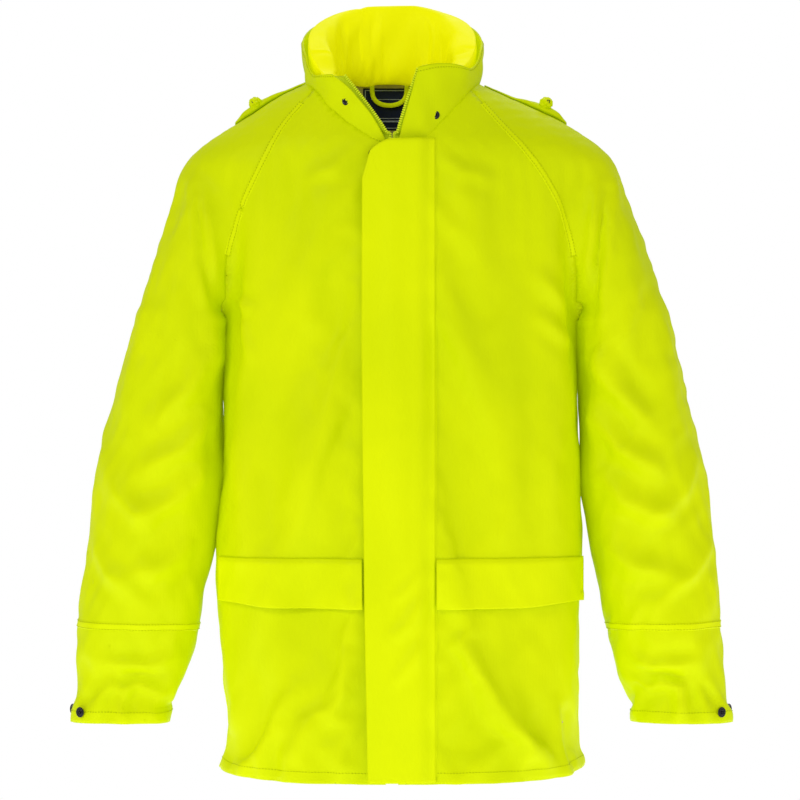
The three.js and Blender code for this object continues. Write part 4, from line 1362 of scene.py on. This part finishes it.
def add_pocket_mouth(name, side):
    z = POCKET_HIGH[2] - 15
    plan = np.array([[side * 68, z], [side * 184, z]])
    parts = []
    for rise, material in ((3.2, 0), (-3.2, 0)):
        curve = skin_curve(plan + np.array([0, rise]), True)
        parts.append((*ribbon(curve, 4.6, 1.0), material))
    curve = skin_curve(plan, True)
    # The slit's middle strip takes the lining colour with its painted shade.
    parts.append((*ribbon(curve, 3.4, 0.25), 1))
    mouth = join_meshes(f"pocket_mouth_{name}", parts, TRIM, LINING_WITH_PAINTED_SHADE)
    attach(mouth, "jacket_body")
    rows, columns = 40, 44
    share = np.linspace(0, 1, columns)[None, :]
    fall = np.linspace(0, 1, rows)[:, None]
    x = side * (58 + 130 * share) + 0 * fall
    z = POCKET_HIGH[2] - 6 - 182 * fall - 6 * np.sin(np.pi * share) * fall
    across, down = np.sin(np.pi * np.clip(share, 0, 1)), np.sin(np.pi * np.clip(0.12 + fall * 0.88, 0, 1))
    belly = across ** 0.5 * down ** 0.5
    cloth = np.array([[front_y(a, b) for a, b in zip(r, s)] for r, s in zip(x, z)])
    y = np.maximum(plain_front_y(x, z) + 4, cloth + 4.5) + 15 * belly + 1.2 * np.sin(x / 13) * belly
    points = np.stack([x, y, z], -1).reshape(-1, 3)
    bag = mesh_object(f"pocket_bag_cloth_{name}", points, grid_faces(rows, columns), LINING_WITH_PAINTED_SHADE)
    thicken(bag, 1.0, False)
    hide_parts(f"pocket_bag_{name}")
    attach(bag, "jacket_body")


# ---- press studs and tabs ----

STUD_PROFILE = [  # (share of the radius, share of the height), from the cap's middle to the foot
    (0.34, 0.86), (0.44, 0.95), (0.52, 1.0), (0.60, 0.9), (0.64, 0.72), (0.70, 0.70), (0.76, 0.84),
    (0.86, 0.9), (0.95, 0.8), (1.0, 0.5), (1.0, 0.12), (0.9, 0.0)]


def add_stud(node, collar):
    """A turned press stud half, in the place, size and direction of its CAD node."""
    mesh = frame["nodes"][node].data
    points = np.array([v.co for v in mesh.vertices]) * 1000
    low, high = points.min(0), points.max(0)
    centre = (low + high) / 2
    rel = points - points.mean(0)
    _, vectors = np.linalg.eigh(rel.T @ rel)
    spread = [np.ptp(rel @ vectors[:, k]) for k in range(3)]
    order = np.argsort(spread)
    small, middling, large = (spread[k] for k in order)
    lone = order[0] if middling - small > large - middling else order[2]
    axis = vectors[:, lone]
    away = centre - np.array([0, MIDDLE_Y, centre[2]])
    if "cuff" in node:
        away = centre - np.array([math.copysign(325, centre[0]), MIDDLE_Y + 8, centre[2]])
    axis = axis * np.sign(axis @ away + 1e-9)
    if node.startswith("flap_stud") or "rivet" in node:
        axis = -axis
    height = np.ptp(rel @ axis)
    radius = sorted(np.ptp(rel @ vectors[:, k]) for k in range(3) if k != lone)[-1] / 2
    middle = points.mean(0) + axis * ((rel @ axis).max() + (rel @ axis).min()) / 2
    if node.startswith("collar_stud"):
        hit = ray(middle[0], middle[2], tree=collar)
        middle = hit[0] + axis * (height / 2 - 1.3) if hit else middle
    side = np.cross(axis, [0.3, 0.2, 0.9])
    side /= np.linalg.norm(side)
    other = np.cross(axis, side)
    sides = 28
    turn = np.arange(sides) * 2 * np.pi / sides
    circle = np.cos(turn)[:, None] * side + np.sin(turn)[:, None] * other
    rings = [middle + axis * (h - 0.5) * height + circle * r * radius
             for r, h in STUD_PROFILE]
    points = np.concatenate([*rings, [middle + axis * 0.36 * height], [middle - axis * 0.5 * height]])
    count = len(rings)
    faces = grid_faces(count, sides, closed=True)
    faces += [(count * sides, i, (i + 1) % sides) for i in range(sides)]
    last = (count - 1) * sides
    faces += [(count * sides + 1, last + (i + 1) % sides, last + i) for i in range(sides)]
    stud = mesh_object(f"press_{node}", points, faces, GUNMETAL)
    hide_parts(node)
    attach(stud, frame["nodes"][node]["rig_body"])


TAB_LIE = [  # x, and height over the shoulder
    (97, 2.5), (112, 3.2), (134, 4.2), (146, 7.5), (158, 9.5), (172, 10.5), (184, 9.5), (192, 3.5)]


def add_tabs():
    """Straps that lie along the shoulders from the neck, each with a thick folded end."""
    for name, side in (("left", 1), ("right", -1)):
        xs, turn = np.linspace(97, 192, 60), np.linspace(0, 2 * np.pi, 36, endpoint=False)
        lies = np.interp(xs, *zip(*TAB_LIE))
        widths = np.interp(xs, [97, 128, 150, 166, 182, 192], [9.5, 10, 12, 15, 14, 8])
        points = np.zeros((len(xs), len(turn), 3))
        for k, (x, high, wide) in enumerate(zip(xs, lies, widths)):
            across = wide * signed_power(np.cos(turn), 0.5)
            crease = 0.5 * np.sin(across / 3.1 + x / 6) * np.clip((x - 140) / 20, 0, 1)
            up = (high - 0.4) * (np.sin(turn) + 1) / 2 * (1 - 0.25 * (across / 15) ** 2)
            up = up + crease * (np.sin(turn) > 0)
            down = Vector((0, 0, -1))
            ground = [SKIN.ray_cast(Vector((side * x, MIDDLE_Y + y, 140)), down)[0] for y in across]
            z = np.array([g[2] if g else -12 for g in ground])
            points[k] = np.stack([np.full(len(turn), side * x), MIDDLE_Y + across, z + 0.5 + up], 1)
        points[1:-1, :, 2] = (points[:-2, :, 2] + points[2:, :, 2] + points[1:-1, :, 2]) / 3
        faces = grid_faces(len(xs), len(turn), closed=True, flip=side > 0)
        last = len(turn) * (len(xs) - 1)
        ends = [tuple(range(len(turn))), tuple(range(last, last + len(turn)))[::-1]]
        faces += ends if side > 0 else [end[::-1] for end in ends]
        tab = mesh_object(f"shoulder_tab_cloth_{name}", points.reshape(-1, 3), faces, YELLOW)
        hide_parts(f"shoulder_tab_{name}")
        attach(tab, f"tab_body_{name}")
        add_toggle(name, side)


def add_toggle(name, side):
    """The knotted end of the tab: a fat twist of cloth with a dark eyelet."""
    low, high = node_box(f"tab_toggle_{name}")
    centre = (low + high) / 2 + np.array([side * 10, -7, -6.5])
    half = (high - low) / 2 + np.array([-0.6, 1.5, 0.2])
    u = np.linspace(0.02, np.pi - 0.02, 40)[:, None]
    v = np.linspace(0, 2 * np.pi, 72, endpoint=False)[None, :]
    twist = 0.11 * np.sin(4 * v + 5 * u) + 0.05 * np.sin(9 * v - 6 * u + 1)
    ridge = 1 + twist * np.sin(u) - 0.2 * np.exp(-(((u - 1.1 - 0.5 * np.sin(v + 0.6)) / 0.13) ** 2))
    shape = np.stack([np.cos(u) * ridge * half[0] + 0 * v, np.sin(u) * np.cos(v) * ridge * half[1],
                      np.sin(u) * np.sin(v) * ridge * half[2]], -1)
    faces = grid_faces(40, 72, closed=True)
    faces += [tuple(range(72))[::-1], tuple(range(39 * 72, 40 * 72))]
    knot = mesh_object(f"tab_knot_{name}", (shape + centre).reshape(-1, 3), faces, TRIM)
    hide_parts(f"tab_toggle_{name}")
    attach(knot, f"tab_body_{name}")
    turn = np.linspace(0, 2 * np.pi, 20)
    tube_turn = np.linspace(0, 2 * np.pi, 8, endpoint=False)
    place = centre + np.array([side * 2.6, -half[1] * 0.84, 1.8])
    ring = [[place + np.array([(1.3 + 0.5 * math.cos(b)) * math.cos(a), 0.5 * math.sin(b),
                               (1.6 + 0.5 * math.cos(b)) * math.sin(a)]) for b in tube_turn] for a in turn]
    faces = grid_faces(20, 8, closed=True)
    eyelet = mesh_object(f"tab_eyelet_{name}", np.array(ring).reshape(-1, 3), faces, GUNMETAL)
    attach(eyelet, f"tab_body_{name}")


# ---- the whole jacket ----

make_camera()
make_stage()
add_panels()
body_threads = add_seams()
collar_tree, collar_threads = add_collar()
add_hood()
add_neck_inside()
add_zip()
add_storm_flap()
add_pockets()
add_tabs()
for node_name in sorted(frame["nodes"]):
    if "stud" in node_name:
        add_stud(node_name, collar_tree)
stitching = join_meshes("body_stitching", body_threads + collar_threads, THREAD)
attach(stitching, "jacket_body")

for node_name, node in frame["nodes"].items():
    if not node.hide_render:
        node.data.materials.clear()
        node.data.materials.append(GUNMETAL)
        edge = node.modifiers.new("edge", "BEVEL")
        edge.width, edge.segments = 0.0004, 2
